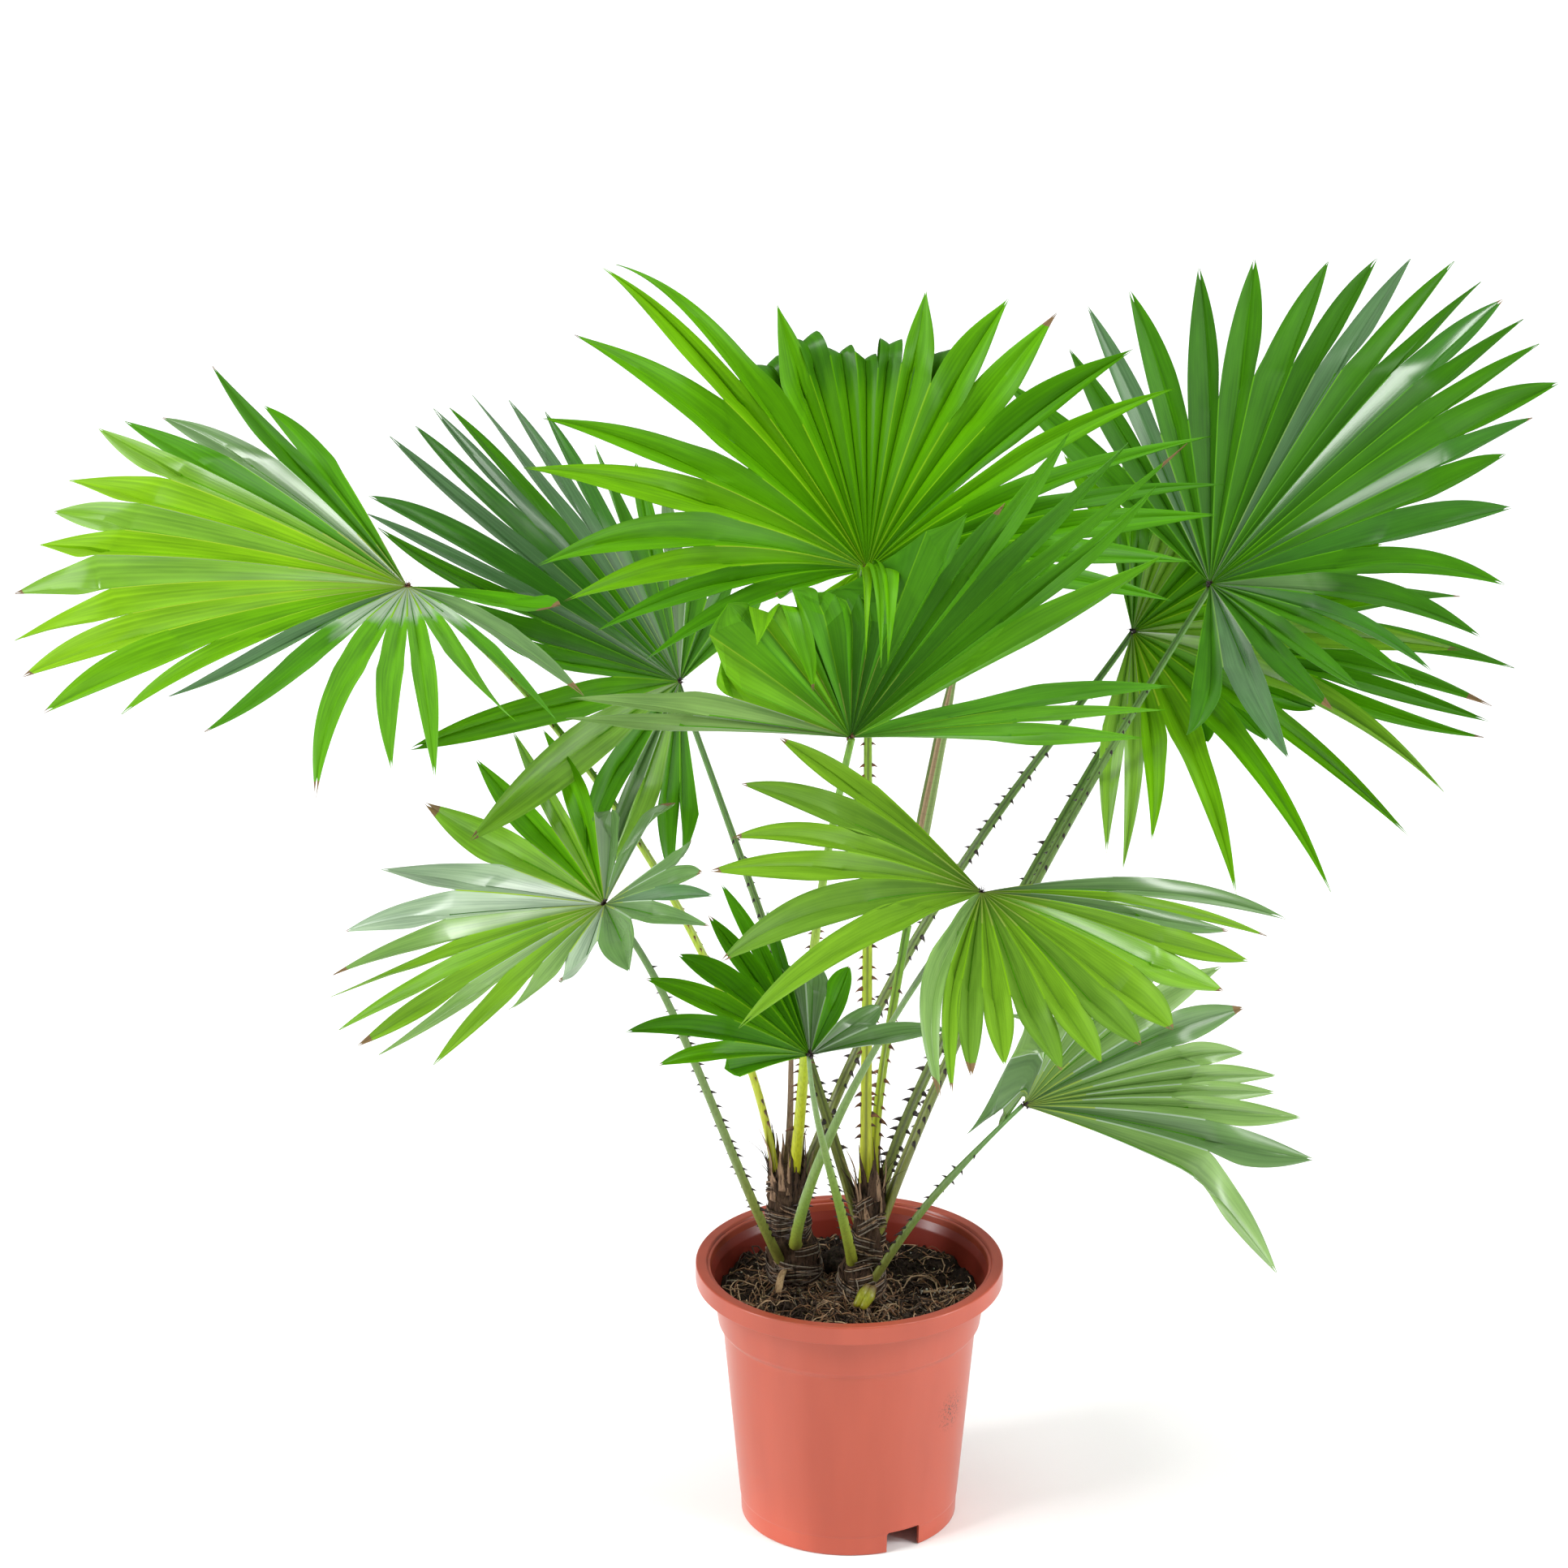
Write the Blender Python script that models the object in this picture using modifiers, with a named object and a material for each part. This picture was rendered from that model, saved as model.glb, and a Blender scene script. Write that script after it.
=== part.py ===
"""Potted livistona palm: nursery pot, potting soil, two short stems, petioles and fan blades.

Metres, +Z up, the pot standing on Z = 0 with its axis on X = Y = 0. The side shown to a viewer
is -Y. Every stem, petiole and blade is a solid of its own. A petiole starts at its stem's
surface and ends just under the middle of its blade, and all touching solids keep a small gap.
"""

import math

import bmesh
import bpy
from mathutils import Vector

for old in list(bpy.data.objects):
    bpy.data.objects.remove(old, do_unlink=True)

GAP = 0.0003  # between solids that touch

# Pot: a 24 cm injection-moulded nursery pot with a turned-down rim.
POT_STEPS = 40
RIM_R, RIM_Z, RIM_SKIRT_Z = 0.1200, 0.2150, 0.2000
SKIRT_IN_R, FLANGE_UNDER_Z = 0.1181, 0.2127
MOUTH_R = 0.1112
COLLAR_TOP_R, COLLAR_LOW_R, COLLAR_LOW_Z = 0.1074, 0.1024, 0.1655
BODY_TOP_R, BODY_TOP_Z = 0.0988, 0.1610
BEAD_R, BEAD_Z = 0.0857, 0.0165
FOOT_R, FOOT_IN_R = 0.0845, 0.0822
FLOOR_UNDER_Z, FLOOR_TOP_Z = 0.0160, 0.0184
PAD_R, PAD_SLOPE_R = 0.0300, 0.0360  # the floor is pressed down to the ground at its centre
POT_WALL = 0.0022
NOTCH_ANGLES = (-60.0, 120.0)  # degrees from +X; the drain notches in the foot
NOTCH_WIDTH, NOTCH_HEIGHT = 0.0290, 0.0175

# Soil
SOIL_TOP_Z = 0.1870
SOIL_STEPS = 32

# Stems: points on the axis with the radius there, from the flat cut at soil level up.
STEMS = {
    "stem_left": (
        ((-0.043, 0.016, 0.1873), 0.0185),
        ((-0.043, 0.016, 0.2000), 0.0210),
        ((-0.044, 0.015, 0.2150), 0.0205),
        ((-0.047, 0.014, 0.2350), 0.0165),
        ((-0.049, 0.013, 0.2600), 0.0155),
        ((-0.049, 0.012, 0.2800), 0.0150),
        ((-0.049, 0.012, 0.2900), 0.0125),
    ),
    "stem_right": (
        ((0.009, -0.011, 0.1873), 0.0165),
        ((0.009, -0.011, 0.2000), 0.0185),
        ((0.010, -0.010, 0.2130), 0.0175),
        ((0.013, -0.008, 0.2300), 0.0130),
        ((0.016, -0.005, 0.2500), 0.0120),
        ((0.016, -0.003, 0.2720), 0.0120),
        ((0.016, -0.002, 0.2830), 0.0100),
    ),
}

# Blades: where the petiole meets the blade, the direction of the middle finger, the direction
# that the upper face looks in, finger length, how much shorter the side fingers are, how much
# the fan is cupped (degrees), how much it sags, the first and last finger (degrees from the
# middle one), the number of fingers, and the bent fingers: where along the finger the bend is,
# by how many degrees it turns away from the upper face, and the finger's share of its length.
BLADES = {
    "frond_far_left": dict(
        hub=(-0.333, 0.000, 0.773), along=(-0.57, -0.78, -0.26), face=(-0.07, -0.27, 0.96),
        length=0.321, side=0.29, cup=19, sag=0.25, first=-119, last=70, fingers=22,
        folds={21: (0.70, 0, 0.93)}),
    "frond_left_back": dict(
        hub=(-0.132, 0.140, 0.644), along=(-0.71, -0.32, 0.63), face=(0.71, -0.23, 0.67),
        length=0.314, side=0.36, cup=-2, sag=0.11, first=-121, last=95, fingers=25,
        folds={15: (0.70, 0, 0.85), 16: (0.70, 0, 0.80), 20: (0.70, 0, 0.80)}),
    "frond_top": dict(
        hub=(0.012, 0.060, 0.765), along=(-0.57, 0.63, 0.54), face=(0.16, -0.55, 0.82),
        length=0.342, side=0.20, cup=33, sag=0.45, first=-143, last=145, fingers=29,
        folds={0: (0.70, 0, 0.93), 9: (0.70, 60, 1.0), 10: (0.64, 95, 1.0), 11: (0.62, 110, 1.0),
               12: (0.63, 105, 1.0), 13: (0.64, 95, 1.0), 14: (0.70, 60, 1.0),
               25: (0.50, 50, 0.50), 26: (0.50, 50, 0.42), 27: (0.50, 50, 0.44),
               28: (0.50, 50, 0.46), 23: (0.70, 0, 0.9), 24: (0.70, 0, 0.7)}),
    "frond_centre_front": dict(
        hub=(-0.002, -0.140, 0.706), along=(0.49, -0.17, 0.86), face=(-0.34, 0.87, 0.37),
        length=0.311, side=0.44, cup=6, sag=0.15, first=-101, last=80, fingers=20,
        folds={3: (0.60, 70, 0.9), 4: (0.58, 100, 0.9), 5: (0.56, 115, 0.9),
               6: (0.56, 115, 0.9), 7: (0.56, 110, 0.9), 8: (0.56, 100, 0.9),
               9: (0.60, 50, 0.9), 10: (0.70, 25, 0.9)}),
    "frond_right_high": dict(
        hub=(0.275, 0.100, 0.739), along=(0.73, 0.41, 0.55), face=(-0.49, -0.24, 0.84),
        length=0.326, side=-0.06, cup=13, sag=0.10, first=-118, last=79, fingers=26, folds={}),
    "frond_right_low": dict(
        hub=(0.222, 0.200, 0.663), along=(1.00, -0.04, 0.04), face=(-0.06, -0.68, 0.73),
        length=0.311, side=0.48, cup=22, sag=0.39, first=-95, last=97, fingers=16,
        folds={12: (0.70, 0, 0.8), 13: (0.70, 0, 0.65), 14: (0.70, 0, 0.6),
               15: (0.70, 0, 0.6)}),
    "frond_front_right": dict(
        hub=(0.094, -0.180, 0.600), along=(-0.54, -0.77, -0.34), face=(0.17, -0.49, 0.85),
        length=0.253, side=0.22, cup=31, sag=0.33, first=-84, last=117, fingers=19, folds={}),
    "frond_front_left": dict(
        hub=(-0.183, -0.170, 0.586), along=(-0.81, -0.28, -0.52), face=(-0.49, -0.19, 0.85),
        length=0.222, side=0.31, cup=17, sag=0.12, first=-140, last=142, fingers=21,
        folds={1: (0.70, 0, 0.85), 2: (0.70, 0, 0.70), 3: (0.70, 0, 0.92)}),
    "frond_small": dict(
        hub=(-0.032, -0.200, 0.478), along=(-0.92, -0.17, 0.35), face=(0.39, -0.47, 0.79),
        length=0.157, side=0.33, cup=15, sag=0.26, first=-152, last=24, fingers=13, folds={}),
    "frond_lower_right": dict(
        hub=(0.131, -0.080, 0.383), along=(0.53, 0.39, -0.75), face=(0.84, -0.34, 0.42),
        length=0.223, side=0.31, cup=42, sag=0.25, first=-8, last=154, fingers=13,
        folds={0: (0.55, 30, 1.1), 11: (0.40, 90, 0.8), 12: (0.35, 110, 0.8)}),
    "frond_right_back": dict(
        hub=(0.254, 0.260, 0.633), along=(0.80, 0.35, 0.10), face=(-0.06, -0.68, 0.73),
        length=0.300, side=0.35, cup=15, sag=0.39, first=-90, last=90, fingers=16, folds={}),
}
THICKNESS = 0.0105  # of the finger length
SPLIT = 0.46  # where the fingers part, of their length
RING = 0.16  # an inner ring of the fan, of the finger length
FINGER_SECTIONS = ((0.70, 0.95), (0.88, 0.55))  # of the length, of the half width at the split
SPREAD_RIPPLE, LENGTH_RIPPLE = 1.2, 0.04  # degrees, part of the length

# Petioles: start inside the stem, two points that draw the curve, radius at start, middle, end.
PETIOLES = {
    "far_left": ("stem_left", (-0.056, 0.010, 0.275), (-0.069, 0.006, 0.447),
                 (-0.223, 0.003, 0.697), (0.0050, 0.0038, 0.0027)),
    "left_back": ("stem_right", (0.006, 0.006, 0.250), (-0.051, 0.051, 0.433),
                  (-0.057, 0.095, 0.433), (0.0050, 0.0038, 0.0027)),
    "top": ("stem_right", (0.012, -0.004, 0.270), (0.013, 0.016, 0.436),
            (0.014, 0.040, 0.599), (0.0050, 0.0038, 0.0027)),
    "centre_front": ("stem_left", (-0.044, 0.010, 0.275), (-0.029, -0.040, 0.443),
                     (-0.037, -0.090, 0.520), (0.0048, 0.0038, 0.0027)),
    "right_high": ("stem_right", (0.022, -0.008, 0.245), (0.094, 0.028, 0.444),
                   (0.187, 0.044, 0.609), (0.0055, 0.0040, 0.0028)),
    "right_low": ("stem_left", (-0.040, 0.022, 0.262), (0.041, 0.082, 0.482),
                  (0.148, 0.141, 0.573), (0.0050, 0.0038, 0.0026)),
    "front_right": ("stem_left", (-0.042, 0.000, 0.228), (-0.044, -0.061, 0.256),
                    (-0.031, -0.092, 0.384), (0.0060, 0.0042, 0.0026)),
    "front_left": ("stem_left", (-0.050, 0.006, 0.203), (-0.096, -0.053, 0.328),
                   (-0.132, -0.111, 0.501), (0.0048, 0.0034, 0.0024)),
    "small": ("stem_right", (0.003, -0.013, 0.215), (-0.008, -0.075, 0.308),
              (-0.029, -0.138, 0.388), (0.0050, 0.0034, 0.0022)),
    "lower_right": ("stem_right", (0.014, -0.020, 0.200), (0.051, -0.039, 0.275),
                    (0.066, -0.060, 0.304), (0.0045, 0.0034, 0.0024)),
    "right_back": ("stem_right", (0.025, 0.004, 0.262), (0.023, 0.088, 0.288),
                   (0.208, 0.175, 0.597), (0.0050, 0.0038, 0.0026)),
}
PETIOLE_STATIONS = 14
TOP_GAP = 0.00035  # between a petiole's end and its blade

# The unopened leaf, the dead petiole and the leaf base at the foot of the right stem.
SPEAR_PETIOLE = ("stem_right", (0.019, 0.006, 0.270), (0.017, 0.016, 0.338),
                 (0.032, 0.025, 0.409), (0.044, 0.035, 0.483))
SPEAR_PETIOLE_R = (0.0042, 0.0036, 0.0034)
SPEAR_BLADE = (((0.0441, 0.0351, 0.4837), 0.0034), ((0.049, 0.038, 0.520), 0.0058),
               ((0.057, 0.043, 0.570), 0.0066), ((0.068, 0.050, 0.630), 0.0058),
               ((0.080, 0.057, 0.690), 0.0030))
DRY_PETIOLE = ("stem_left", (-0.051, 0.022, 0.272), (-0.042, 0.015, 0.332),
               (-0.049, 0.008, 0.396), (-0.042, 0.000, 0.454))
DRY_PETIOLE_R = (0.0040, 0.0030, 0.0016)
STUB = ("stem_right", (0.008, -0.022, 0.194), (0.006, -0.032, 0.196),
        (0.003, -0.038, 0.197), (0.000, -0.043, 0.199))
STUB_R = (0.0060, 0.0055, 0.0035)

COLOURS = {
    "pot": (0.60, 0.145, 0.095), "soil": (0.045, 0.032, 0.022), "stem": (0.12, 0.075, 0.045),
    "petiole": (0.16, 0.30, 0.07), "frond": (0.10, 0.30, 0.05), "dry": (0.22, 0.14, 0.08),
}
ROUGHNESS = {"pot": 0.4, "soil": 0.95, "stem": 0.9, "petiole": 0.5, "frond": 0.45, "dry": 0.9}

scene = bpy.context.scene
helpers = bpy.data.collections.new("cutters")
helpers.hide_render = True
scene.collection.children.link(helpers)


def material(name, kind):
    """A material of its own for the named piece, in the colour of its kind."""
    made = bpy.data.materials.new(name)
    made.use_nodes = True
    shader = made.node_tree.nodes["Principled BSDF"]
    shader.inputs["Base Color"].default_value = (*COLOURS[kind], 1.0)
    shader.inputs["Roughness"].default_value = ROUGHNESS[kind]
    return made


def add(name, mesh, kind):
    """An object that becomes the node of this name."""
    piece = bpy.data.objects.new(name, mesh)
    scene.collection.objects.link(piece)
    if kind:
        piece.data.materials.append(material(name, kind))
    return piece


def as_helper(piece):
    """Moves a cutter out of the render."""
    for holder in list(piece.users_collection):
        holder.objects.unlink(piece)
    helpers.objects.link(piece)
    piece.hide_render = True
    piece.display_type = "WIRE"
    return piece


def turned(name, profile, steps, kind):
    """A solid of revolution about Z, from a closed profile of (radius, height) points."""
    mesh = bpy.data.meshes.new(name)
    points = [(r, 0.0, z) for r, z in profile]
    edges = [(i, i + 1) for i in range(len(points) - 1)]
    mesh.from_pydata(points, edges, [])
    piece = add(name, mesh, kind)
    screw = piece.modifiers.new("turn", "SCREW")
    screw.axis = "Z"
    screw.steps = screw.render_steps = steps
    screw.use_merge_vertices = True
    screw.merge_threshold = 0.00001
    return piece


def limb(name, stations, sides, kind):
    """A tapering limb with flat ends, from (point, radius) stations along its axis."""
    curve = bpy.data.curves.new(name, "CURVE")
    curve.dimensions = "3D"
    curve.twist_mode = "MINIMUM"
    curve.bevel_depth = 1.0
    curve.bevel_resolution = sides // 2 - 2
    curve.use_fill_caps = True
    spline = curve.splines.new("POLY")
    spline.points.add(len(stations) - 1)
    for spot, (point, radius) in zip(spline.points, stations):
        spot.co = (*point, 1.0)
        spot.radius = radius
    drawn = bpy.data.objects.new(name + "_drawn", curve)
    scene.collection.objects.link(drawn)
    bpy.context.view_layer.update()
    seen = drawn.evaluated_get(bpy.context.evaluated_depsgraph_get())
    mesh = bpy.data.meshes.new_from_object(seen)
    mesh.name = name
    bpy.data.objects.remove(drawn, do_unlink=True)
    work = bmesh.new()
    work.from_mesh(mesh)
    bmesh.ops.remove_doubles(work, verts=work.verts, dist=0.000001)
    bmesh.ops.recalc_face_normals(work, faces=work.faces)
    work.to_mesh(mesh)
    work.free()
    mesh.materials.clear()
    return add(name, mesh, kind)


def cut(piece, cutter):
    """Removes the cutter's shape from the piece."""
    boolean = piece.modifiers.new("cut", "BOOLEAN")
    boolean.operation = "DIFFERENCE"
    boolean.solver = "EXACT"
    boolean.object = cutter


def bezier(a, b, c, d, t):
    """The point at t on the curve that starts at a, ends at d and is drawn by b and c."""
    s = 1.0 - t
    return s * s * s * a + 3 * s * s * t * b + 3 * s * t * t * c + t * t * t * d


def stem_cutters():
    """Each stem's shape with the gap added, which the limbs that grow from it are cut by."""
    made = {}
    for name, stations in STEMS.items():
        grown = [(Vector(p), r + GAP) for p, r in stations]
        grown[0] = (grown[0][0] - Vector((0, 0, 0.002)), grown[0][1])
        grown[-1] = (grown[-1][0] + Vector((0, 0, GAP)), grown[-1][1])
        made[name] = as_helper(limb(name + "_cutter", grown, 12, None))
    return made


def taper(radii, t):
    """The radius at t, from the radii at the start, the middle and the end."""
    low, mid, high = radii
    return low + (mid - low) * t * 2 if t < 0.5 else mid + (high - mid) * (t * 2 - 1)


def grown_limb(name, curve, radii, kind, stations=PETIOLE_STATIONS):
    """A limb along a drawn curve, cut off at the surface of the stem that it grows from."""
    stem, *points = curve
    a, b, c, d = (Vector(p) for p in points)
    line = []
    for i in range(stations):
        t = i / (stations - 1)
        line.append((bezier(a, b, c, d, t), taper(radii, t)))
    cut(limb(name, line, 6, kind), cutters[stem])


def frame_of(blade):
    """The middle finger's direction, the direction across it, and the upper face's normal."""
    along = Vector(blade["along"]).normalized()
    face = Vector(blade["face"])
    face = (face - along * face.dot(along)).normalized()
    return along, face.cross(along), face


def reach(blade, angle):
    """The length of the finger at this angle."""
    return blade["length"] * (1 - blade["side"] * (1 - math.cos(math.radians(angle))) / 2)


def spot(blade, angle, distance, bend=None):
    """A point of the blade: this far from the hub along the finger at this angle."""
    along, across, face = frame_of(blade)
    phi, cup = math.radians(angle), math.radians(blade["cup"])
    outward = along * math.cos(phi) + across * math.sin(phi)
    way = outward * math.cos(cup) + face * math.sin(cup)
    start = min(distance, bend[0]) if bend else distance
    drop = blade["sag"] * start * start / (2 * blade["length"])
    point = Vector(blade["hub"]) + way * start - Vector((0, 0, drop))
    if start < distance:
        slope = blade["sag"] * start / blade["length"]
        way = (way - Vector((0, 0, slope))).normalized()
        away = (outward.cross(face)).normalized().cross(way)
        away = -away if away.dot(face) > 0 else away
        turn = math.radians(bend[1])
        point += (way * math.cos(turn) + away * math.sin(turn)) * (distance - start)
    return point


def sideways(blade, angle):
    """The direction across the finger at this angle."""
    along, across, _ = frame_of(blade)
    phi = math.radians(angle)
    return across * math.cos(phi) - along * math.sin(phi)


def frond(name, blade, seed):
    """A blade: one thin fan about its hub, cut between the fingers down to where they part."""
    count = blade["fingers"]
    step = (blade["last"] - blade["first"]) / (count - 1)
    angles, lengths, bends = [], [], []
    for i in range(count):
        angle = blade["first"] + i * step
        where, turn, share = blade["folds"].get(i, (0.0, 0.0, 1.0))
        long = share * reach(blade, angle) * (1 + LENGTH_RIPPLE * math.sin(1.7 * i + 2 * seed))
        angles.append(angle + SPREAD_RIPPLE * math.sin(2.4 * i + seed))
        lengths.append(long)
        bends.append((where * long, turn) if turn else None)
    borders = [angles[0] - step / 2]
    borders += [(angles[i] + angles[i + 1]) / 2 for i in range(count - 1)]
    borders.append(angles[-1] + step / 2)
    ends = [lengths[0]] + [min(lengths[i], lengths[i + 1]) for i in range(count - 1)]
    ends.append(lengths[-1])

    points = [spot(blade, 0, 0)]
    ring = len(points)
    points += [spot(blade, b, RING * e) for b, e in zip(borders, ends)]
    notch = len(points)
    points += [spot(blade, b, SPLIT * e) for b, e in zip(borders, ends)]
    faces = []
    for i in range(count):
        faces.append((0, ring + i, ring + i + 1))
        faces.append((ring + i, notch + i, notch + i + 1, ring + i + 1))
        half = (points[notch + i + 1] - points[notch + i]).length / 2
        low, high = notch + i, notch + i + 1
        sections = FINGER_SECTIONS
        if bends[i]:
            where = blade["folds"][i][0]
            sections = ((where, 1.0), ((1 + where) / 2, 0.7))
        for part, width in sections:
            middle = spot(blade, angles[i], part * lengths[i], bends[i])
            aside = sideways(blade, angles[i]) * half * width
            points += [middle - aside, middle + aside]
            faces.append((low, len(points) - 2, len(points) - 1, high))
            low, high = len(points) - 2, len(points) - 1
        points.append(spot(blade, angles[i], lengths[i], bends[i]))
        faces.append((low, len(points) - 1, high))
    mesh = bpy.data.meshes.new(name)
    mesh.from_pydata(points, [], faces)
    piece = add(name, mesh, "frond")
    thick = piece.modifiers.new("thickness", "SOLIDIFY")
    thick.thickness = THICKNESS * blade["length"]
    thick.offset = 0.0


def petiole_end(blade, towards, radius):
    """Where a petiole ends: under the hub, clear of the blade's lower face."""
    _, _, face = frame_of(blade)
    hub = Vector(blade["hub"])
    lean = max(0.0, min(1.0, (hub - towards).normalized().dot(face)))
    rise = lean * math.tan(math.radians(max(0.0, blade["cup"])))
    edge = radius * max(0.0, math.sqrt(1 - lean * lean) - rise)
    return hub - face * (THICKNESS * blade["length"] / 2 + TOP_GAP + edge)


# Pot
wall = POT_WALL
pot = turned(
    "pot",
    (
        (0.0, 0.0), (PAD_R, 0.0), (PAD_SLOPE_R, FLOOR_UNDER_Z), (FOOT_IN_R, FLOOR_UNDER_Z),
        (FOOT_IN_R - 0.0004, 0.0), (FOOT_R, 0.0), (BEAD_R - 0.0006, BEAD_Z - 0.0015),
        (BEAD_R, BEAD_Z), (BODY_TOP_R, BODY_TOP_Z), (COLLAR_LOW_R, COLLAR_LOW_Z),
        (COLLAR_TOP_R, RIM_SKIRT_Z), (COLLAR_TOP_R + 0.0012, FLANGE_UNDER_Z),
        (SKIRT_IN_R, FLANGE_UNDER_Z), (SKIRT_IN_R, RIM_SKIRT_Z), (RIM_R - 0.0003, RIM_SKIRT_Z),
        (RIM_R, RIM_SKIRT_Z + 0.0006), (RIM_R, RIM_Z - 0.0008), (RIM_R - 0.0009, RIM_Z),
        (MOUTH_R + 0.0008, RIM_Z), (MOUTH_R, RIM_Z - 0.0008),
        (COLLAR_TOP_R - wall, RIM_SKIRT_Z), (COLLAR_LOW_R - wall, COLLAR_LOW_Z),
        (BODY_TOP_R - wall, BODY_TOP_Z), (BEAD_R - wall, FLOOR_TOP_Z),
        (PAD_SLOPE_R - 0.0009, FLOOR_TOP_Z), (PAD_R - 0.0009, 0.0024), (0.0, 0.0024),
    ),
    POT_STEPS,
    "pot",
)
for angle in NOTCH_ANGLES:
    turn = math.radians(angle)
    bpy.ops.mesh.primitive_cube_add(size=1.0)
    notch_cutter = bpy.context.object
    notch_cutter.name = f"notch_cutter_{int(angle) % 360}"
    notch_cutter.scale = (0.0120, NOTCH_WIDTH, 2 * NOTCH_HEIGHT)
    notch_cutter.rotation_euler = (0, 0, turn)
    notch_cutter.location = (FOOT_R * math.cos(turn), FOOT_R * math.sin(turn), 0)
    as_helper(notch_cutter)
    cut(pot, notch_cutter)

# Soil, filling the pot to its top level, 0.3 mm clear of the pot
turned(
    "soil",
    (
        (0.0, SOIL_TOP_Z), (0.1008, SOIL_TOP_Z), (0.1024, SOIL_TOP_Z - 0.0020),
        (COLLAR_LOW_R - wall - 2 * GAP, COLLAR_LOW_Z), (BODY_TOP_R - wall - 2 * GAP, BODY_TOP_Z),
        (BEAD_R - wall - 2 * GAP, FLOOR_TOP_Z + GAP), (PAD_SLOPE_R - 0.0013, FLOOR_TOP_Z + GAP),
        (PAD_R - 0.0013, 0.0024 + GAP), (0.0, 0.0024 + GAP),
    ),
    SOIL_STEPS,
    "soil",
)

# Stems
for name, stations in STEMS.items():
    limb(name, [(Vector(p), r) for p, r in stations], 12, "stem")
cutters = stem_cutters()

# Blades and the petioles that carry them
for seed, (name, blade) in enumerate(BLADES.items()):
    frond(name, blade, seed)
    stem, start, low, high, radii = PETIOLES[name[len("frond_"):]]
    end = petiole_end(blade, Vector(high), radii[2])
    grown_limb(name.replace("frond", "petiole"), (stem, start, low, high, end), radii, "petiole")

# The unopened leaf, the dead petiole and the leaf base
grown_limb("spear_petiole", SPEAR_PETIOLE, SPEAR_PETIOLE_R, "petiole", 10)
limb("spear_blade", [(Vector(p), r) for p, r in SPEAR_BLADE], 6, "frond")
grown_limb("dry_petiole", DRY_PETIOLE, DRY_PETIOLE_R, "dry", 8)
grown_limb("leaf_base", STUB, STUB_R, "petiole", 5)
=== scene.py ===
"""Potted livistona palm: the finished surfaces of the pot, the soil, the stems and every leaf."""

import math
import random

import bpy
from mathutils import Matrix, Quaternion, Vector, noise


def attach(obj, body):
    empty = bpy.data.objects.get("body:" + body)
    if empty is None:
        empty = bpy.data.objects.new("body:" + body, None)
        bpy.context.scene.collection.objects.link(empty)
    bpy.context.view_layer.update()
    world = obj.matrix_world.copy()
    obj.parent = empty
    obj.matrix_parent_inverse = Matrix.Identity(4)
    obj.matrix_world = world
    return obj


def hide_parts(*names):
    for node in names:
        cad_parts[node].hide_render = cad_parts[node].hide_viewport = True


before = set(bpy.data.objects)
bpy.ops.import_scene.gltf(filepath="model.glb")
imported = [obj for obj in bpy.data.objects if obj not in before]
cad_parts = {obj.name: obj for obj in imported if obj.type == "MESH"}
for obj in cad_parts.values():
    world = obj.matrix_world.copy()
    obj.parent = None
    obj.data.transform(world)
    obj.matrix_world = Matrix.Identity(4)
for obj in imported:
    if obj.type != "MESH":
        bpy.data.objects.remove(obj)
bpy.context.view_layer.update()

# Camera
# The viewer stands five metres away with a long lens and looks down on the plant, so that the
# pot's rim shows as an open ellipse and the soil can be seen in it.
AIM = Vector((-0.051, 0.0, 0.614))
VIEW_DISTANCE = 5.0
LOOK_DOWN = math.radians(21.6)
SENSOR_WIDTH = 36.0
FOCAL_PIXELS, PICTURE_PIXELS = 8130, 1932

camera_data = bpy.data.cameras.new("camera")
camera_data.sensor_width = SENSOR_WIDTH
camera_data.lens = SENSOR_WIDTH * FOCAL_PIXELS / PICTURE_PIXELS
camera_data.clip_end = 50.0
camera = bpy.data.objects.new("camera", camera_data)
camera.location = AIM + VIEW_DISTANCE * Vector((0, -math.cos(LOOK_DOWN), math.sin(LOOK_DOWN)))
camera.rotation_euler = (math.pi / 2 - LOOK_DOWN, 0, 0)
bpy.context.scene.collection.objects.link(camera)
bpy.context.scene.camera = camera
bpy.context.scene.view_settings.view_transform = "Standard"

# Floor and studio light
# A white sweep of paper in a white room. A tall strip and a low snooted lamp on each side draw
# the upright highlights on the pot, and three diffused windows light the leaves.
FLOOR_SIZE = 14.0
ROOM_LIGHT = 0.32
MIDDLE_OF_PLANT = (0, 0, 0.5)
STRIPS = {"soft_box_left": ((-3.0, -1.0, 1.1), 66), "soft_box_right": ((3.0, -0.8, 1.0), 62)}
STRIP_WIDTH, STRIP_HEIGHT = 0.5, 2.4
SNOOTS = {"low_spot_left": (-1, 75), "low_spot_right": (1, 40)}
SNOOT_BREADTH, SNOOT_SIZE = math.radians(7.5), 0.04
WINDOWS = {  # the way to each, its strength, and the degrees that it spans
    "window_left": ((-0.7, -0.5, 1.0), 1.64, 16), "window_right": ((0.75, -0.45, 0.9), 1.05, 22),
    "window_above": ((0.0, 0.25, 1.0), 1.4, 45),
}


def paper_floor():
    """The white paper that the pot stands on."""
    bpy.ops.mesh.primitive_plane_add(size=FLOOR_SIZE, location=(0, 0, -0.0005))
    floor = bpy.context.object
    floor.name = "floor"
    paper = bpy.data.materials.new("white_paper")
    paper.use_nodes = True
    shader = paper.node_tree.nodes["Principled BSDF"]
    shader.inputs["Base Color"].default_value = (0.93, 0.93, 0.93, 1.0)
    shader.inputs["Roughness"].default_value = 0.9
    shader.inputs["Specular IOR Level"].default_value = 0.1
    floor.data.materials.append(paper)


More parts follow.
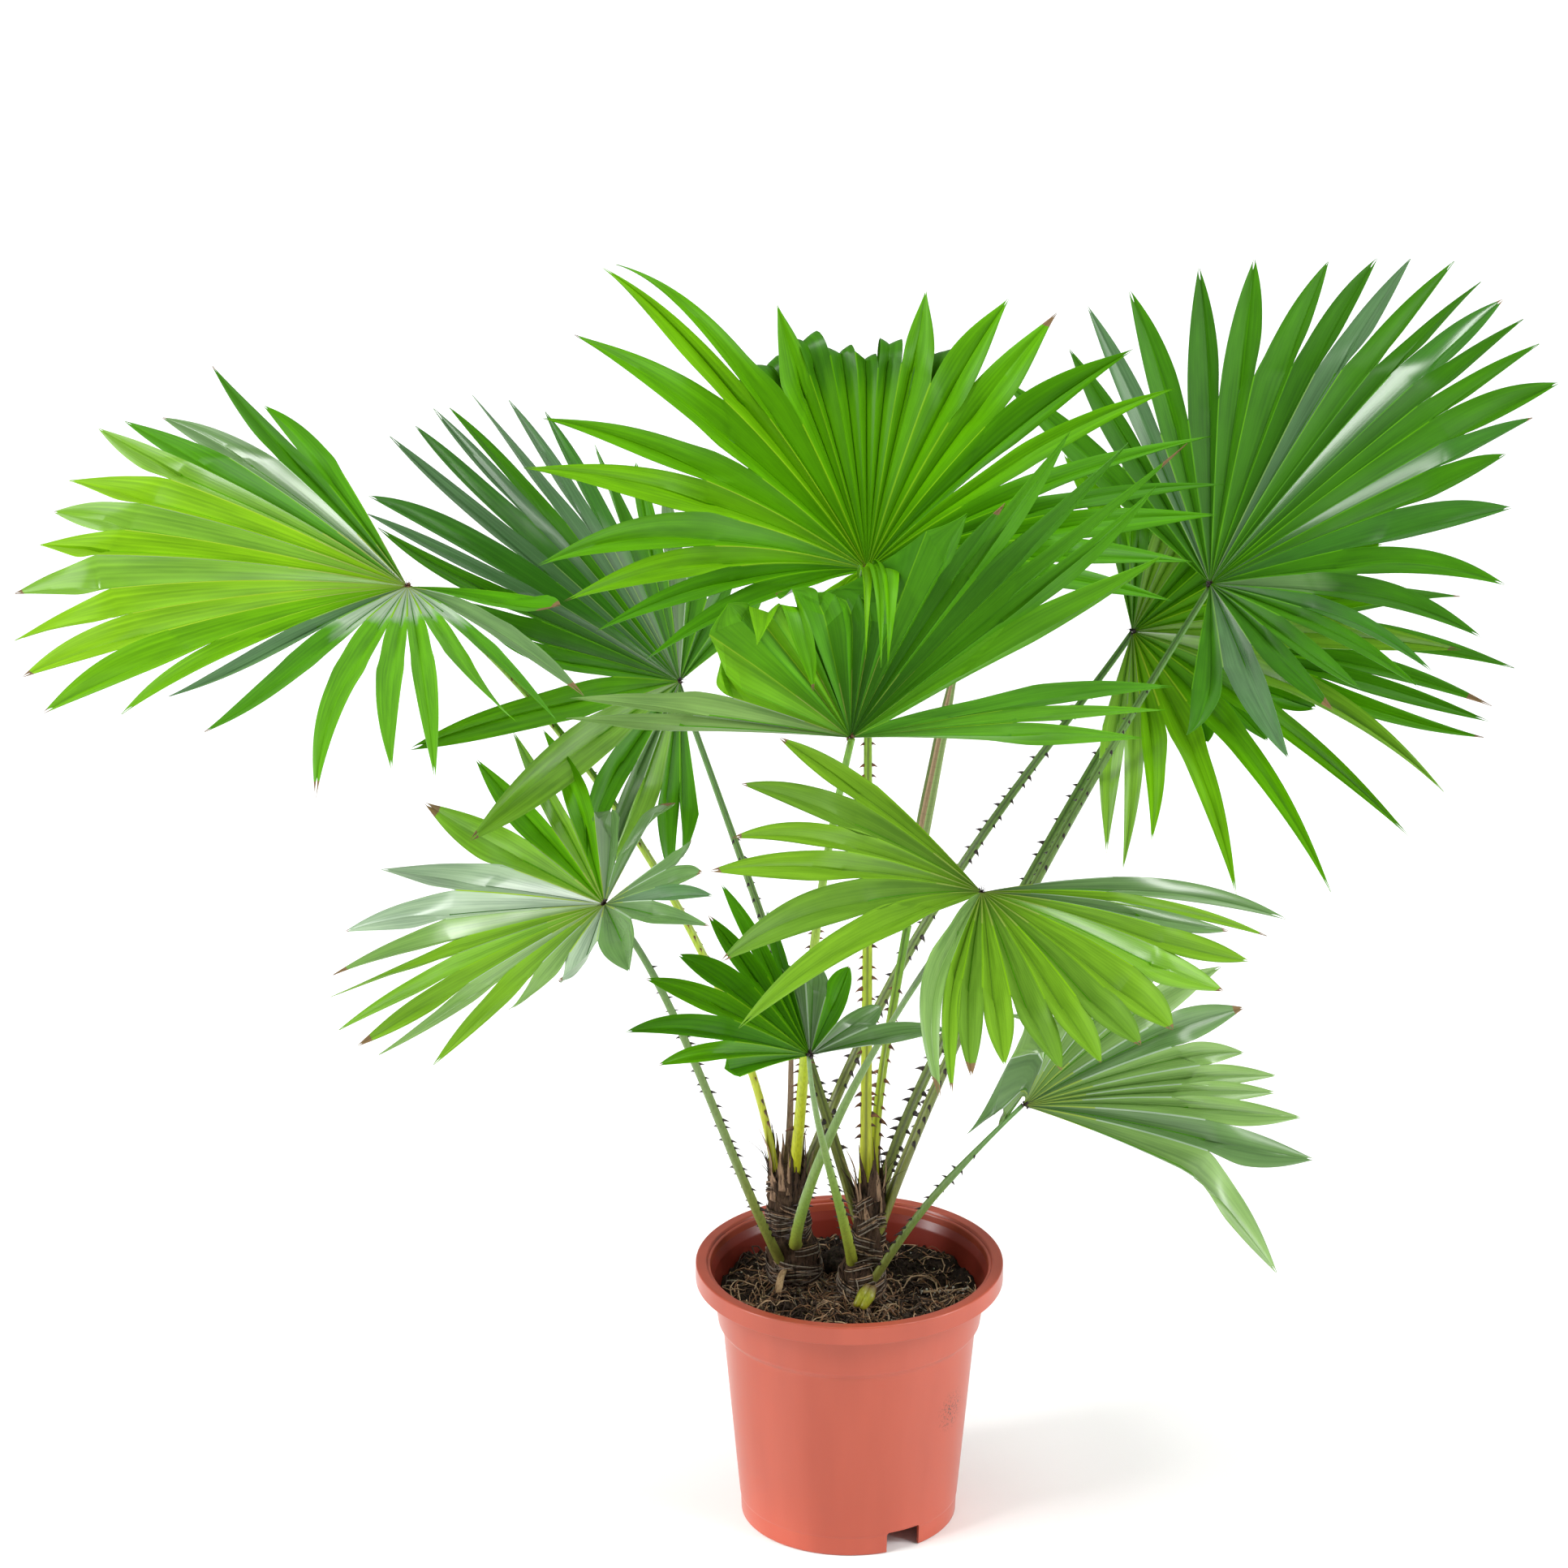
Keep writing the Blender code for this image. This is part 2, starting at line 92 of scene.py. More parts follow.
def lamp(name, kind, power, place, aim, **settings):
    """A lamp of this kind that stands at place and points to aim."""
    data = bpy.data.lights.new(name, kind)
    data.energy = power
    for key, value in settings.items():
        setattr(data, key, value)
    made = bpy.data.objects.new(name, data)
    made.location = place
    made.rotation_euler = (Vector(aim) - Vector(place)).to_track_quat("-Z", "Y").to_euler()
    bpy.context.scene.collection.objects.link(made)


paper_floor()
for name, (place, power) in STRIPS.items():
    lamp(name, "AREA", power, place, MIDDLE_OF_PLANT, shape="RECTANGLE", size=STRIP_WIDTH,
         size_y=STRIP_HEIGHT)
for name, (hand, power) in SNOOTS.items():
    # The lamp grazes the paper beside the pot, and the pot's wall mirrors the streak.
    lamp(name, "SPOT", power, (hand * 1.22, -0.86, 0.34), (hand * 0.235, -0.165, 0.0),
         spot_size=SNOOT_BREADTH, spot_blend=1.0, shadow_soft_size=SNOOT_SIZE)
for name, (way, strength, breadth) in WINDOWS.items():
    lamp(name, "SUN", strength, way, (0, 0, 0), angle=math.radians(breadth))
room = bpy.data.worlds.new("white_room")
room.use_nodes = True
room.node_tree.nodes["Background"].inputs["Color"].default_value = (1.0, 1.0, 1.0, 1.0)
room.node_tree.nodes["Background"].inputs["Strength"].default_value = ROOM_LIGHT
bpy.context.scene.world = room

# Pot
# A nursery pot of terracotta-coloured polypropylene, injection-moulded in one piece: a cone with
# a bead above its notched foot, a collar, and a rim turned down into a short skirt. The root
# ball stands loose in it.
POT_TURNS = 220
POT_WALL = 0.0022
POT_NOTCHES = (-60.0, 120.0)  # degrees from +X
POT_DIRT = (0.0808, -0.052, 0.110)  # the middle of the splash of dirt on its right side
NOTCH_WIDTH, NOTCH_HEIGHT, NOTCH_DEPTH, NOTCH_ROUNDING = 0.029, 0.0175, 0.012, 0.002
FOOT_RADIUS = 0.0845
EDGE_ROUNDING = 0.0012
SHARP_FROM = math.radians(32)  # edges that turn by more than this stay crisp
INSIDE_SHADE_FROM, INSIDE_SHADE_TO = 0.02, 0.2125  # heights between which the inside is darkened as painted shade
POT_OUTSIDE = (
    (0.0, 0.0), (0.0300, 0.0), (0.0360, 0.0160), (0.0822, 0.0160), (0.0818, 0.0),
    (0.0845, 0.0), (0.0851, 0.0150), (0.0857, 0.0165), (0.0988, 0.1610), (0.1024, 0.1655),
    (0.1074, 0.2000), (0.1086, 0.2127), (0.1181, 0.2127), (0.1181, 0.2000), (0.1197, 0.2000),
    (0.1200, 0.2006), (0.1200, 0.2142), (0.1191, 0.2150), (0.1120, 0.2150), (0.1112, 0.2142),
)
POT_INSIDE = (
    (0.1074 - POT_WALL, 0.2000), (0.1024 - POT_WALL, 0.1655), (0.0988 - POT_WALL, 0.1610),
    (0.0857 - POT_WALL, 0.0184), (0.0351, 0.0184), (0.0291, 0.0024), (0.0, 0.0024),
)


def rounded(profile, radius, steps=3):
    """The profile with each inner corner rounded off, by no more than a third of its sides."""
    corners = [Vector(p) for p in profile]
    line = [corners[0]]
    for before, corner, after in zip(corners, corners[1:], corners[2:]):
        back, on = before - corner, after - corner
        start = corner + back.normalized() * min(radius, back.length / 3)
        end = corner + on.normalized() * min(radius, on.length / 3)
        for i in range(steps + 1):
            t = i / steps
            line.append(start.lerp(corner, t).lerp(corner.lerp(end, t), t))
    return line + [corners[-1]]


def settled(piece):
    """The piece with its modifiers turned into plain mesh."""
    bpy.context.view_layer.update()
    seen = piece.evaluated_get(bpy.context.evaluated_depsgraph_get())
    mesh = bpy.data.meshes.new_from_object(seen)
    piece.modifiers.clear()
    piece.data = mesh
    return piece


def make_piece(name, mesh, slot, *nodes):
    """A piece of the plant or its pot, which stands for these nodes of the frame."""
    piece = bpy.data.objects.new(name, mesh)
    bpy.context.scene.collection.objects.link(piece)
    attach(piece, "root")
    if nodes:
        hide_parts(*nodes)
    return piece


def bare_material(name, roughness, specular=0.5):
    """A material with its node tree, its shader and a maker of further nodes."""
    made = bpy.data.materials.new(name)
    made.use_nodes = True
    tree = made.node_tree
    shader = tree.nodes["Principled BSDF"]
    shader.inputs["Roughness"].default_value = roughness
    shader.inputs["Specular IOR Level"].default_value = specular

    def node(kind, settings=None, **inputs):
        new = tree.nodes.new(kind)
        for key, value in (settings or {}).items():
            setattr(new, key, value)
        for key, value in inputs.items():
            socket = new.inputs[key.replace("_", " ")]
            if isinstance(value, bpy.types.NodeSocket):
                tree.links.new(value, socket)
            else:
                socket.default_value = value
        return new

    return made, tree, shader, node


def ramp(node, factor, stops):
    """A colour ramp driven by factor, through (position, colour) stops."""
    made = node("ShaderNodeValToRGB", Fac=factor)
    elements = made.color_ramp.elements
    while len(elements) < len(stops):
        elements.new(0.5)
    for element, (position, colour) in zip(elements, stops):
        element.position = position
        element.color = (*colour, 1.0)
    return made.outputs["Color"]


def multiplied(tree, node, one, other):
    """One colour tinted by another."""
    mix = node("ShaderNodeMix", {"data_type": "RGBA", "blend_type": "MULTIPLY"}, Factor=1.0)
    tree.links.new(one, mix.inputs[6])
    tree.links.new(other, mix.inputs[7])
    return mix.outputs[2]


def terracotta_plastic(name, dark, light):
    """Satin polypropylene: faint upright flow marks from the mould, and a few specks of dirt."""
    made, tree, shader, node = bare_material(name, 0.32)
    place = node("ShaderNodeTexCoord").outputs["Object"]
    tall = node("ShaderNodeMapping", Vector=place, Scale=(9.0, 9.0, 1.2)).outputs["Vector"]
    flow = node("ShaderNodeTexNoise", Vector=tall, Scale=3.0, Detail=3.0).outputs["Fac"]
    plastic = ramp(node, flow, ((0.30, dark), (0.70, light)))
    away = node("ShaderNodeVectorMath", {"operation": "DISTANCE"})
    tree.links.new(place, away.inputs[0])
    away.inputs[1].default_value = POT_DIRT
    near = ramp(node, away.outputs["Value"], ((0.006, (1, 1, 1)), (0.020, (0, 0, 0))))
    grain = node("ShaderNodeTexNoise", Vector=place, Scale=620.0, Detail=1.0).outputs["Fac"]
    grains = ramp(node, grain, ((0.56, (0, 0, 0)), (0.60, (1, 1, 1))))
    colour = node("ShaderNodeMix", {"data_type": "RGBA"})
    tree.links.new(multiplied(tree, node, near, grains), colour.inputs["Factor"])
    tree.links.new(plastic, colour.inputs[6])
    colour.inputs[7].default_value = (0.08, 0.03, 0.02, 1.0)
    tree.links.new(colour.outputs[2], shader.inputs["Base Color"])
    scuff = node("ShaderNodeMapRange", Value=flow, To_Min=0.26, To_Max=0.38)
    tree.links.new(scuff.outputs["Result"], shader.inputs["Roughness"])
    skin = node("ShaderNodeTexNoise", Vector=place, Scale=900.0, Detail=1.0).outputs["Fac"]
    bump = node("ShaderNodeBump", Height=skin, Strength=0.10, Distance=0.0001)
    tree.links.new(bump.outputs["Normal"], shader.inputs["Normal"])
    return made


def moulded_pot():
    """The pot, turned from its profile and notched, with its inside darkened as painted shade."""
    profile = rounded(POT_OUTSIDE + POT_INSIDE, EDGE_ROUNDING)
    mesh = bpy.data.meshes.new("pot_shell")
    edges = [(i, i + 1) for i in range(len(profile) - 1)]
    mesh.from_pydata([(r, 0.0, z) for r, z in profile], edges, [])
    pot = make_piece("pot_shell", mesh, "pot", "pot")
    turn = pot.modifiers.new("turn", "SCREW")
    turn.steps = turn.render_steps = POT_TURNS
    turn.use_merge_vertices = True
    turn.merge_threshold = 0.00001
    cutters = []
    for angle in POT_NOTCHES:
        around = math.radians(angle)
        bpy.ops.mesh.primitive_cube_add(size=1.0, calc_uvs=False)
        cutter = bpy.context.object
        cutter.scale = (NOTCH_DEPTH, NOTCH_WIDTH, 2 * NOTCH_HEIGHT)
        cutter.rotation_euler = (0, 0, around)
        cutter.location = (FOOT_RADIUS * math.cos(around), FOOT_RADIUS * math.sin(around), 0)
        bpy.ops.object.transform_apply(location=False, rotation=False, scale=True)
        soften = cutter.modifiers.new("soften", "BEVEL")
        soften.width, soften.segments = NOTCH_ROUNDING, 3
        notch = pot.modifiers.new("notch", "BOOLEAN")
        notch.object = cutter
        cutters.append(cutter)
    settled(pot)
    for cutter in cutters:
        bpy.data.objects.remove(cutter, do_unlink=True)
    pot.data.shade_smooth()
    pot.data.set_sharp_from_angle(angle=SHARP_FROM)
    pot.data.materials.clear()
    outside = terracotta_plastic("terracotta_plastic", (0.390, 0.066, 0.034), (0.450, 0.081, 0.043))
    # The inside takes a darker plastic than the outside: painted shade inside the pot.
    inside = terracotta_plastic("shaded_inside_plastic", (0.240, 0.028, 0.017), (0.310, 0.038, 0.023))
    pot.data.materials.append(outside)
    pot.data.materials.append(inside)
    # Faces that look inward between these heights get the darker plastic, as painted shade.
    for face in pot.data.polygons:
        inward = face.normal.x * face.center.x + face.normal.y * face.center.y < 0
        face.material_index = 1 if inward and INSIDE_SHADE_FROM < face.center.z < INSIDE_SHADE_TO else 0


moulded_pot()

# Soil
# Peaty potting mix in the top of the pot, 28 mm under the rim: a lumpy dark surface with loose
# crumbs, specks of perlite, and the palm's own brown roots and coir fibres matted over it.
SOIL_TOP = 0.187
SOIL_RADIUS = 0.1024
SOIL_RINGS, SOIL_SPOKES = 84, 300
SOIL_DEPTH = 0.020  # of the skirt that runs down the pot's wall
HOLLOW, HOLLOW_RADIUS, HOLLOW_DEPTH = (0.072, 0.010), 0.034, 0.009
STEM_FEET = ((-0.043, 0.016), (0.009, -0.011))
MOUND_HEIGHT, MOUND_RADIUS = 0.006, 0.030  # of the soil heaped up round each stem
SOIL_REACH = 0.099  # how near to the wall anything lies on the soil
CLODS = ((-0.012, 0.032, 0.0125), (0.0, 0.047, 0.007), (0.045, -0.052, 0.005))  # x, y, size
TWIG = ((0.058, 0.006), (0.068, 0.012), (0.079, 0.016), (0.083, 0.009), (0.090, -0.002))
CRUMB_COUNT, PERLITE_COUNT, ROOT_COUNT = 1900, 90, 640


def eased(t):
    """0 before 0, 1 after 1, and a smooth rise between them."""
    t = min(1.0, max(0.0, t))
    return t * t * (3 - 2 * t)


def soil_height(x, y):
    """The height of the soil's surface: mounds at the stems, a hollow at the right, lumps."""
    high = SOIL_TOP - 0.0015
    for foot_x, foot_y in STEM_FEET:
        away = ((x - foot_x) ** 2 + (y - foot_y) ** 2) / MOUND_RADIUS**2
        high += MOUND_HEIGHT * math.exp(-away)
    away = ((x - HOLLOW[0]) ** 2 + (y - HOLLOW[1]) ** 2) / HOLLOW_RADIUS**2
    high -= HOLLOW_DEPTH * math.exp(-2 * away)
    high += 0.0060 * noise.noise(Vector((x, y, 0.0)) * 42)
    high += 0.0042 * noise.fractal(Vector((x, y, 0.3)) * 130, 0.6, 2.1, 4)
    return high


def tube(points, radii, sides, flat=1.0, across=None):
    """The points and faces of a closed tube along points, flattened across its width by flat."""
    line = [Vector(p) for p in points]
    rows, faces = [], []
    side = Vector(across) if across is not None else None
    for i, (point, radius) in enumerate(zip(line, radii)):
        way = (line[min(i + 1, len(line) - 1)] - line[max(i - 1, 0)]).normalized()
        if side is None:
            side = way.orthogonal()
        side = (side - way * side.dot(way)).normalized()
        up = way.cross(side)
        for j in range(sides):
            turn = 2 * math.pi * j / sides
            rows.append(point + radius * (side * math.cos(turn) + up * flat * math.sin(turn)))
    for i in range(len(line) - 1):
        for j in range(sides):
            a, b = i * sides + j, i * sides + (j + 1) % sides
            faces.append((a, b, b + sides, a + sides))
    last = (len(line) - 1) * sides
    faces.append(tuple(range(sides - 1, -1, -1)))
    faces.append(tuple(range(last, last + sides)))
    return rows, faces


def joined_mesh(name, shapes, materials, smooth=True):
    """One mesh from (points, faces, material index) shapes."""
    points, faces, kinds = [], [], []
    for some_points, some_faces, kind in shapes:
        base = len(points)
        points.extend(some_points)
        faces.extend(tuple(base + i for i in face) for face in some_faces)
        kinds.extend([kind] * len(some_faces) if isinstance(kind, int) else kind)
    mesh = bpy.data.meshes.new(name)
    mesh.from_pydata(points, [], faces)
    mesh.polygons.foreach_set("material_index", kinds)
    for material in materials:
        mesh.materials.append(material)
    if smooth:
        mesh.shade_smooth()
    return mesh


def lump(rng, place, size, flat=1.0):
    """A crumb: an icosahedron with its corners moved at random."""
    golden = (1 + math.sqrt(5)) / 2
    corners = [(-1, golden, 0), (1, golden, 0), (-1, -golden, 0), (1, -golden, 0),
               (0, -1, golden), (0, 1, golden), (0, -1, -golden), (0, 1, -golden),
               (golden, 0, -1), (golden, 0, 1), (-golden, 0, -1), (-golden, 0, 1)]
    faces = [(0, 11, 5), (0, 5, 1), (0, 1, 7), (0, 7, 10), (0, 10, 11), (1, 5, 9), (5, 11, 4),
             (11, 10, 2), (10, 7, 6), (7, 1, 8), (3, 9, 4), (3, 4, 2), (3, 2, 6), (3, 6, 8),
             (3, 8, 9), (4, 9, 5), (2, 4, 11), (6, 2, 10), (8, 6, 7), (9, 8, 1)]
    turn = Quaternion([rng.gauss(0, 1) for _ in range(4)]).normalized()
    points = []
    for corner in corners:
        spot = Vector(corner).normalized() * size * rng.uniform(0.65, 1.2)
        spot.rotate(turn)
        spot.z *= flat
        points.append(Vector(place) + spot)
    return points, faces


def grainy(name, dark, light, grain):
    """A dull stuff with a coarse and a fine grain, from dark to light: peat, perlite or mould."""
    made, tree, shader, node = bare_material(name, 0.95, 0.2)
    place = node("ShaderNodeTexCoord").outputs["Object"]
    coarse = node("ShaderNodeTexNoise", Vector=place, Scale=grain, Detail=6.0, Roughness=0.7)
    colour = ramp(node, coarse.outputs["Fac"], ((0.36, dark), (0.64, light)))
    tree.links.new(colour, shader.inputs["Base Color"])
    fine = node("ShaderNodeTexNoise", Vector=place, Scale=grain * 5, Detail=3.0).outputs["Fac"]
    bump = node("ShaderNodeBump", Height=fine, Strength=0.8, Distance=0.0012)
    tree.links.new(bump.outputs["Normal"], shader.inputs["Normal"])
    return made


def soil_bed():
    """The lumpy surface with a skirt down the wall and a flat underside, as one closed shape."""
    points = [(0.0, 0.0, soil_height(0.0, 0.0))]
    faces = []
    for ring in range(1, SOIL_RINGS + 1):
        for spoke in range(SOIL_SPOKES):
            turn = 2 * math.pi * spoke / SOIL_SPOKES
            r = SOIL_RADIUS * ring / SOIL_RINGS
            x, y = r * math.cos(turn), r * math.sin(turn)
            points.append((x, y, soil_height(x, y)))
    for spoke in range(SOIL_SPOKES):
        turn = 2 * math.pi * spoke / SOIL_SPOKES
        r = SOIL_RADIUS - 0.0030
        points.append((r * math.cos(turn), r * math.sin(turn), SOIL_TOP - SOIL_DEPTH))
    for spoke in range(SOIL_SPOKES):
        on = (spoke + 1) % SOIL_SPOKES
        faces.append((0, 1 + spoke, 1 + on))
        for ring in range(SOIL_RINGS):
            a = 1 + ring * SOIL_SPOKES
            faces.append((a + spoke, a + SOIL_SPOKES + spoke, a + SOIL_SPOKES + on, a + on))
    floor = 1 + SOIL_RINGS * SOIL_SPOKES
    faces.append(tuple(floor + spoke for spoke in range(SOIL_SPOKES - 1, -1, -1)))
    return points, faces


def soil_spot(rng):
    """A random place on the soil, as (x, y, height)."""
    r, turn = SOIL_REACH * math.sqrt(rng.random()), rng.uniform(0, 2 * math.pi)
    x, y = r * math.cos(turn), r * math.sin(turn)
    return x, y, soil_height(x, y)


def root(rng, x, y, way, length, hump, thickness):
    """One thin root that wanders over the soil and lifts off it in a low hump."""
    steps = 12
    bend, points = rng.uniform(-95, 95), []
    for i in range(steps):
        r = math.hypot(x, y)
        if r > SOIL_REACH:
            x, y = x * SOIL_REACH / r, y * SOIL_REACH / r
            way += 0.7
        rise = hump * math.sin(math.pi * i / (steps - 1)) ** 2
        points.append((x, y, soil_height(x, y) + 0.0004 + rise))
        way += bend * length / steps + rng.uniform(-0.35, 0.35)
        x += math.cos(way) * length / steps
        y += math.sin(way) * length / steps
    return tube(points, [thickness] * (steps - 1) + [thickness * 0.4], 4)


def potting_soil():
    """The soil's surface with its crumbs, and the pieces that lie loose on it."""
    rng = random.Random(4)
    dark = grainy("damp_peat", (0.004, 0.0028, 0.0022), (0.034, 0.020, 0.013), 150.0)
    crumb = grainy("peat_crumbs", (0.008, 0.006, 0.005), (0.070, 0.048, 0.034), 300.0)
    white = grainy("perlite", (0.52, 0.50, 0.46), (0.70, 0.68, 0.64), 700.0)
    shapes = [(*soil_bed(), 0)]
    for _ in range(CRUMB_COUNT):
        x, y, z = soil_spot(rng)
        size = 0.0006 + 0.0022 * rng.random() ** 3
        shapes.append((*lump(rng, (x, y, z + size * 0.3), size, 0.8), 1))
    for x, y, size in CLODS:
        spot = (x, y, soil_height(x, y) + size * 0.7)
        for _ in range(9):
            near = [c + rng.uniform(-0.35, 0.35) * size for c in spot]
            shapes.append((*lump(rng, near, size * 0.7, 0.9), 1))
    for _ in range(PERLITE_COUNT):
        x, y, z = soil_spot(rng)
        size = rng.uniform(0.0004, 0.0011)
        shapes.append((*lump(rng, (x, y, z + size * 0.6), size), 2))
    mesh = joined_mesh("soil_surface", shapes, (dark, crumb, white))
    make_piece("soil_surface", mesh, "soil", "soil")


def root_mat():
    """Brown roots and coir fibres over the soil, thickest round the stems and at the front.

    One twig with tufts of white mould lies among them at the right."""
    rng = random.Random(11)
    tones = []
    for name, colour in (("root_brown", (0.290, 0.155, 0.080)),
                         ("root_tan", (0.600, 0.410, 0.255)),
                         ("root_dark", (0.060, 0.036, 0.024))):
        made, tree, shader, node = bare_material(name, 0.75, 0.3)
        place = node("ShaderNodeTexCoord").outputs["Object"]
        mottle = node("ShaderNodeTexNoise", Vector=place, Scale=160.0, Detail=2.0)
        low = tuple(c * 0.55 for c in colour)
        paint = ramp(node, mottle.outputs["Fac"], ((0.35, low), (0.65, colour)))
        tree.links.new(paint, shader.inputs["Base Color"])
        tones.append(made)
    shapes = []
    for i in range(ROOT_COUNT):
        x, y, _ = soil_spot(rng)
        if i % 4 == 0:
            foot_x, foot_y = rng.choice(STEM_FEET)
            turn, r = rng.uniform(0, 2 * math.pi), rng.uniform(0.020, 0.034)
            x, y = foot_x + r * math.cos(turn), foot_y + r * math.sin(turn)
        elif i % 4 == 1:
            y = min(y, -0.02 - 0.05 * rng.random())
        long = rng.uniform(0.018, 0.072)
        hump = rng.uniform(0.0, 0.013) * rng.random() ** 1.5
        thick = rng.uniform(0.00024, 0.00070)
        shape = root(rng, x, y, rng.uniform(0, 6.3), long, hump, thick)
        shapes.append((*shape, rng.choices((0, 1, 2), (5, 3, 5))[0]))
    twig = [Vector((x, y, soil_height(x, y) + 0.004)) for x, y in TWIG]
    shapes.append((*tube(twig, (0.0011, 0.0012, 0.0010, 0.0008, 0.0006), 6), 1))
    for near in twig * 6:
        spot = near + Vector([rng.uniform(-0.0035, 0.0035) for _ in range(3)])
        shapes.append((*lump(rng, spot, rng.uniform(0.0005, 0.0012)), 3))
    mould = grainy("white_mould", (0.60, 0.56, 0.48), (0.82, 0.78, 0.70), 700.0)
    mesh = joined_mesh("root_mat", shapes, tones + [mould])
    make_piece("root_mat", mesh, "soil")


potting_soil()
root_mat()

# Stems
# Two short trunks from one root, swollen at the foot. Old leaf bases and their woven brown
# fibre wrap each of them tightly, in bands of parallel strands that run slantwise round it, and
# fray into rags and hairs at the top where the youngest leaves come out.
STEMS = {
    "stem_left": (
        (-0.043, 0.016, 0.1873, 0.0185), (-0.043, 0.016, 0.2000, 0.0210),
        (-0.044, 0.015, 0.2150, 0.0205), (-0.047, 0.014, 0.2350, 0.0165),
        (-0.049, 0.013, 0.2600, 0.0155), (-0.049, 0.012, 0.2800, 0.0150),
        (-0.049, 0.012, 0.2900, 0.0125),
    ),
    "stem_right": (
        (0.009, -0.011, 0.1873, 0.0165), (0.009, -0.011, 0.2000, 0.0185),
        (0.010, -0.010, 0.2130, 0.0175), (0.013, -0.008, 0.2300, 0.0130),
        (0.016, -0.005, 0.2500, 0.0120), (0.016, -0.003, 0.2720, 0.0120),
        (0.016, -0.002, 0.2830, 0.0100),
    ),
}
STEM_SIDES, STEM_ROWS = 90, 80
STEM_MAKING = {  # the seed of each, and its numbers of fibre bands and of rags
    "stem_left": (3, 30, 44), "stem_right": (8, 26, 36),
}
FOOT_FIBRES, FIBRE_REACH = 46, 0.098


def stem_at(name, height):
    """The stem's axis and radius at this height, as (point, radius)."""
    stations = STEMS[name]
    height = min(max(height, stations[0][2]), stations[-1][2])
    for low, high in zip(stations, stations[1:]):
        if height <= high[2]:
            break
    t = (height - low[2]) / (high[2] - low[2])
    t = t * t * (3 - 2 * t)
    x, y, r = (low[k] + (high[k] - low[k]) * t for k in (0, 1, 3))
    return Vector((x, y, height)), r


def wrapped_bark(name, dark, light):
    """Old sheath fibre: long slanting streaks, dull and rough."""
    made, tree, shader, node = bare_material(name, 0.9, 0.25)
    place = node("ShaderNodeTexCoord").outputs["Object"]
    lean = node("ShaderNodeMapping", Vector=place, Rotation=(0.35, 0.5, 0.0),
                Scale=(260.0, 260.0, 34.0)).outputs["Vector"]
    streaks = node("ShaderNodeTexNoise", Vector=lean, Scale=1.0, Detail=5.0, Roughness=0.65)
    colour = ramp(node, streaks.outputs["Fac"], ((0.34, dark), (0.52, light), (0.70, dark)))
    tree.links.new(colour, shader.inputs["Base Color"])
    bump = node("ShaderNodeBump", Height=streaks.outputs["Fac"], Strength=0.9, Distance=0.0012)
    tree.links.new(bump.outputs["Normal"], shader.inputs["Normal"])
    return made


def stem_core(name, seed):
    """The trunk itself, with the relief of the leaf bases that wrap it."""
    bottom, top = STEMS[name][0][2] - 0.006, STEMS[name][-1][2]
    points, faces = [], []
    for row in range(STEM_ROWS + 1):
        height = bottom + (top - bottom) * row / STEM_ROWS
        centre, radius = stem_at(name, height)
        centre.z = height
        for j in range(STEM_SIDES):
            turn = 2 * math.pi * j / STEM_SIDES
            out = Vector((math.cos(turn), math.sin(turn), 0))
            spot = out * 2.2 + Vector((0, 0, height * 60 + seed))
            slant = math.sin(turn * 9 + height * 300 + 3 * noise.noise(spot))
            deep = 0.0026 * noise.noise(spot * 1.5) + 0.0006 * slant
            deep += 0.0007 * noise.fractal(spot * 5, 0.6, 2.0, 4)
            points.append(centre + out * (radius - 0.0008 + deep))
    for row in range(STEM_ROWS):
        for j in range(STEM_SIDES):
            a, b = row * STEM_SIDES + j, row * STEM_SIDES + (j + 1) % STEM_SIDES
            faces.append((a, b, b + STEM_SIDES, a + STEM_SIDES))
    last = STEM_ROWS * STEM_SIDES
    faces.append(tuple(range(STEM_SIDES - 1, -1, -1)))
    faces.append(tuple(range(last, last + STEM_SIDES)))
    return points, faces


def strand(name, low, turn, span, slope, lift, thickness):
    """One fibre wound part of the way round the stem, thinner at its ends."""
    steps, points = 14, []
    for i in range(steps):
        t = i / (steps - 1)
        height = low + slope * t + 0.0006 * math.sin(7 * t + turn)
        centre, radius = stem_at(name, height)
        angle = turn + span * t
        out = radius + lift * (1 - 0.6 * (2 * t - 1) ** 2)
        points.append(centre + Vector((math.cos(angle), math.sin(angle), 0)) * out)
    radii = [thickness * (1 - 0.7 * abs(2 * i / (steps - 1) - 1) ** 3) for i in range(steps)]
    return tube(points, radii, 4)


def fibre_bands(rng, name, bands):
    """Bands of parallel strands that overlap round the foot, each band on a slant of its own."""
    shapes = []
    bottom, top = STEMS[name][0][2], STEMS[name][-1][2]
    for i in range(bands):
        low = bottom + (top - bottom) * 0.78 * ((i + rng.random()) / bands) ** 1.35
        turn, span = 2.4 * i + rng.uniform(-0.3, 0.3), rng.uniform(1.2, 2.3)
        slope, lift = rng.choice((-0.013, -0.005, 0.006, 0.012)), rng.uniform(0.0005, 0.0017)
        spacing = rng.uniform(0.0015, 0.0021)
        for k in range(rng.randint(4, 8)):
            part = span * rng.uniform(0.85, 1.08)
            start = turn + rng.uniform(-0.10, 0.10)
            thin = rng.uniform(0.00046, 0.00082)
            shape = strand(name, low + k * spacing, start, part, slope, lift, thin)
            grey_brown_or_tan = (1, 2, 1, 3, 2)[(k + i) % 5]
            shapes.append((*shape, grey_brown_or_tan))
    return shapes


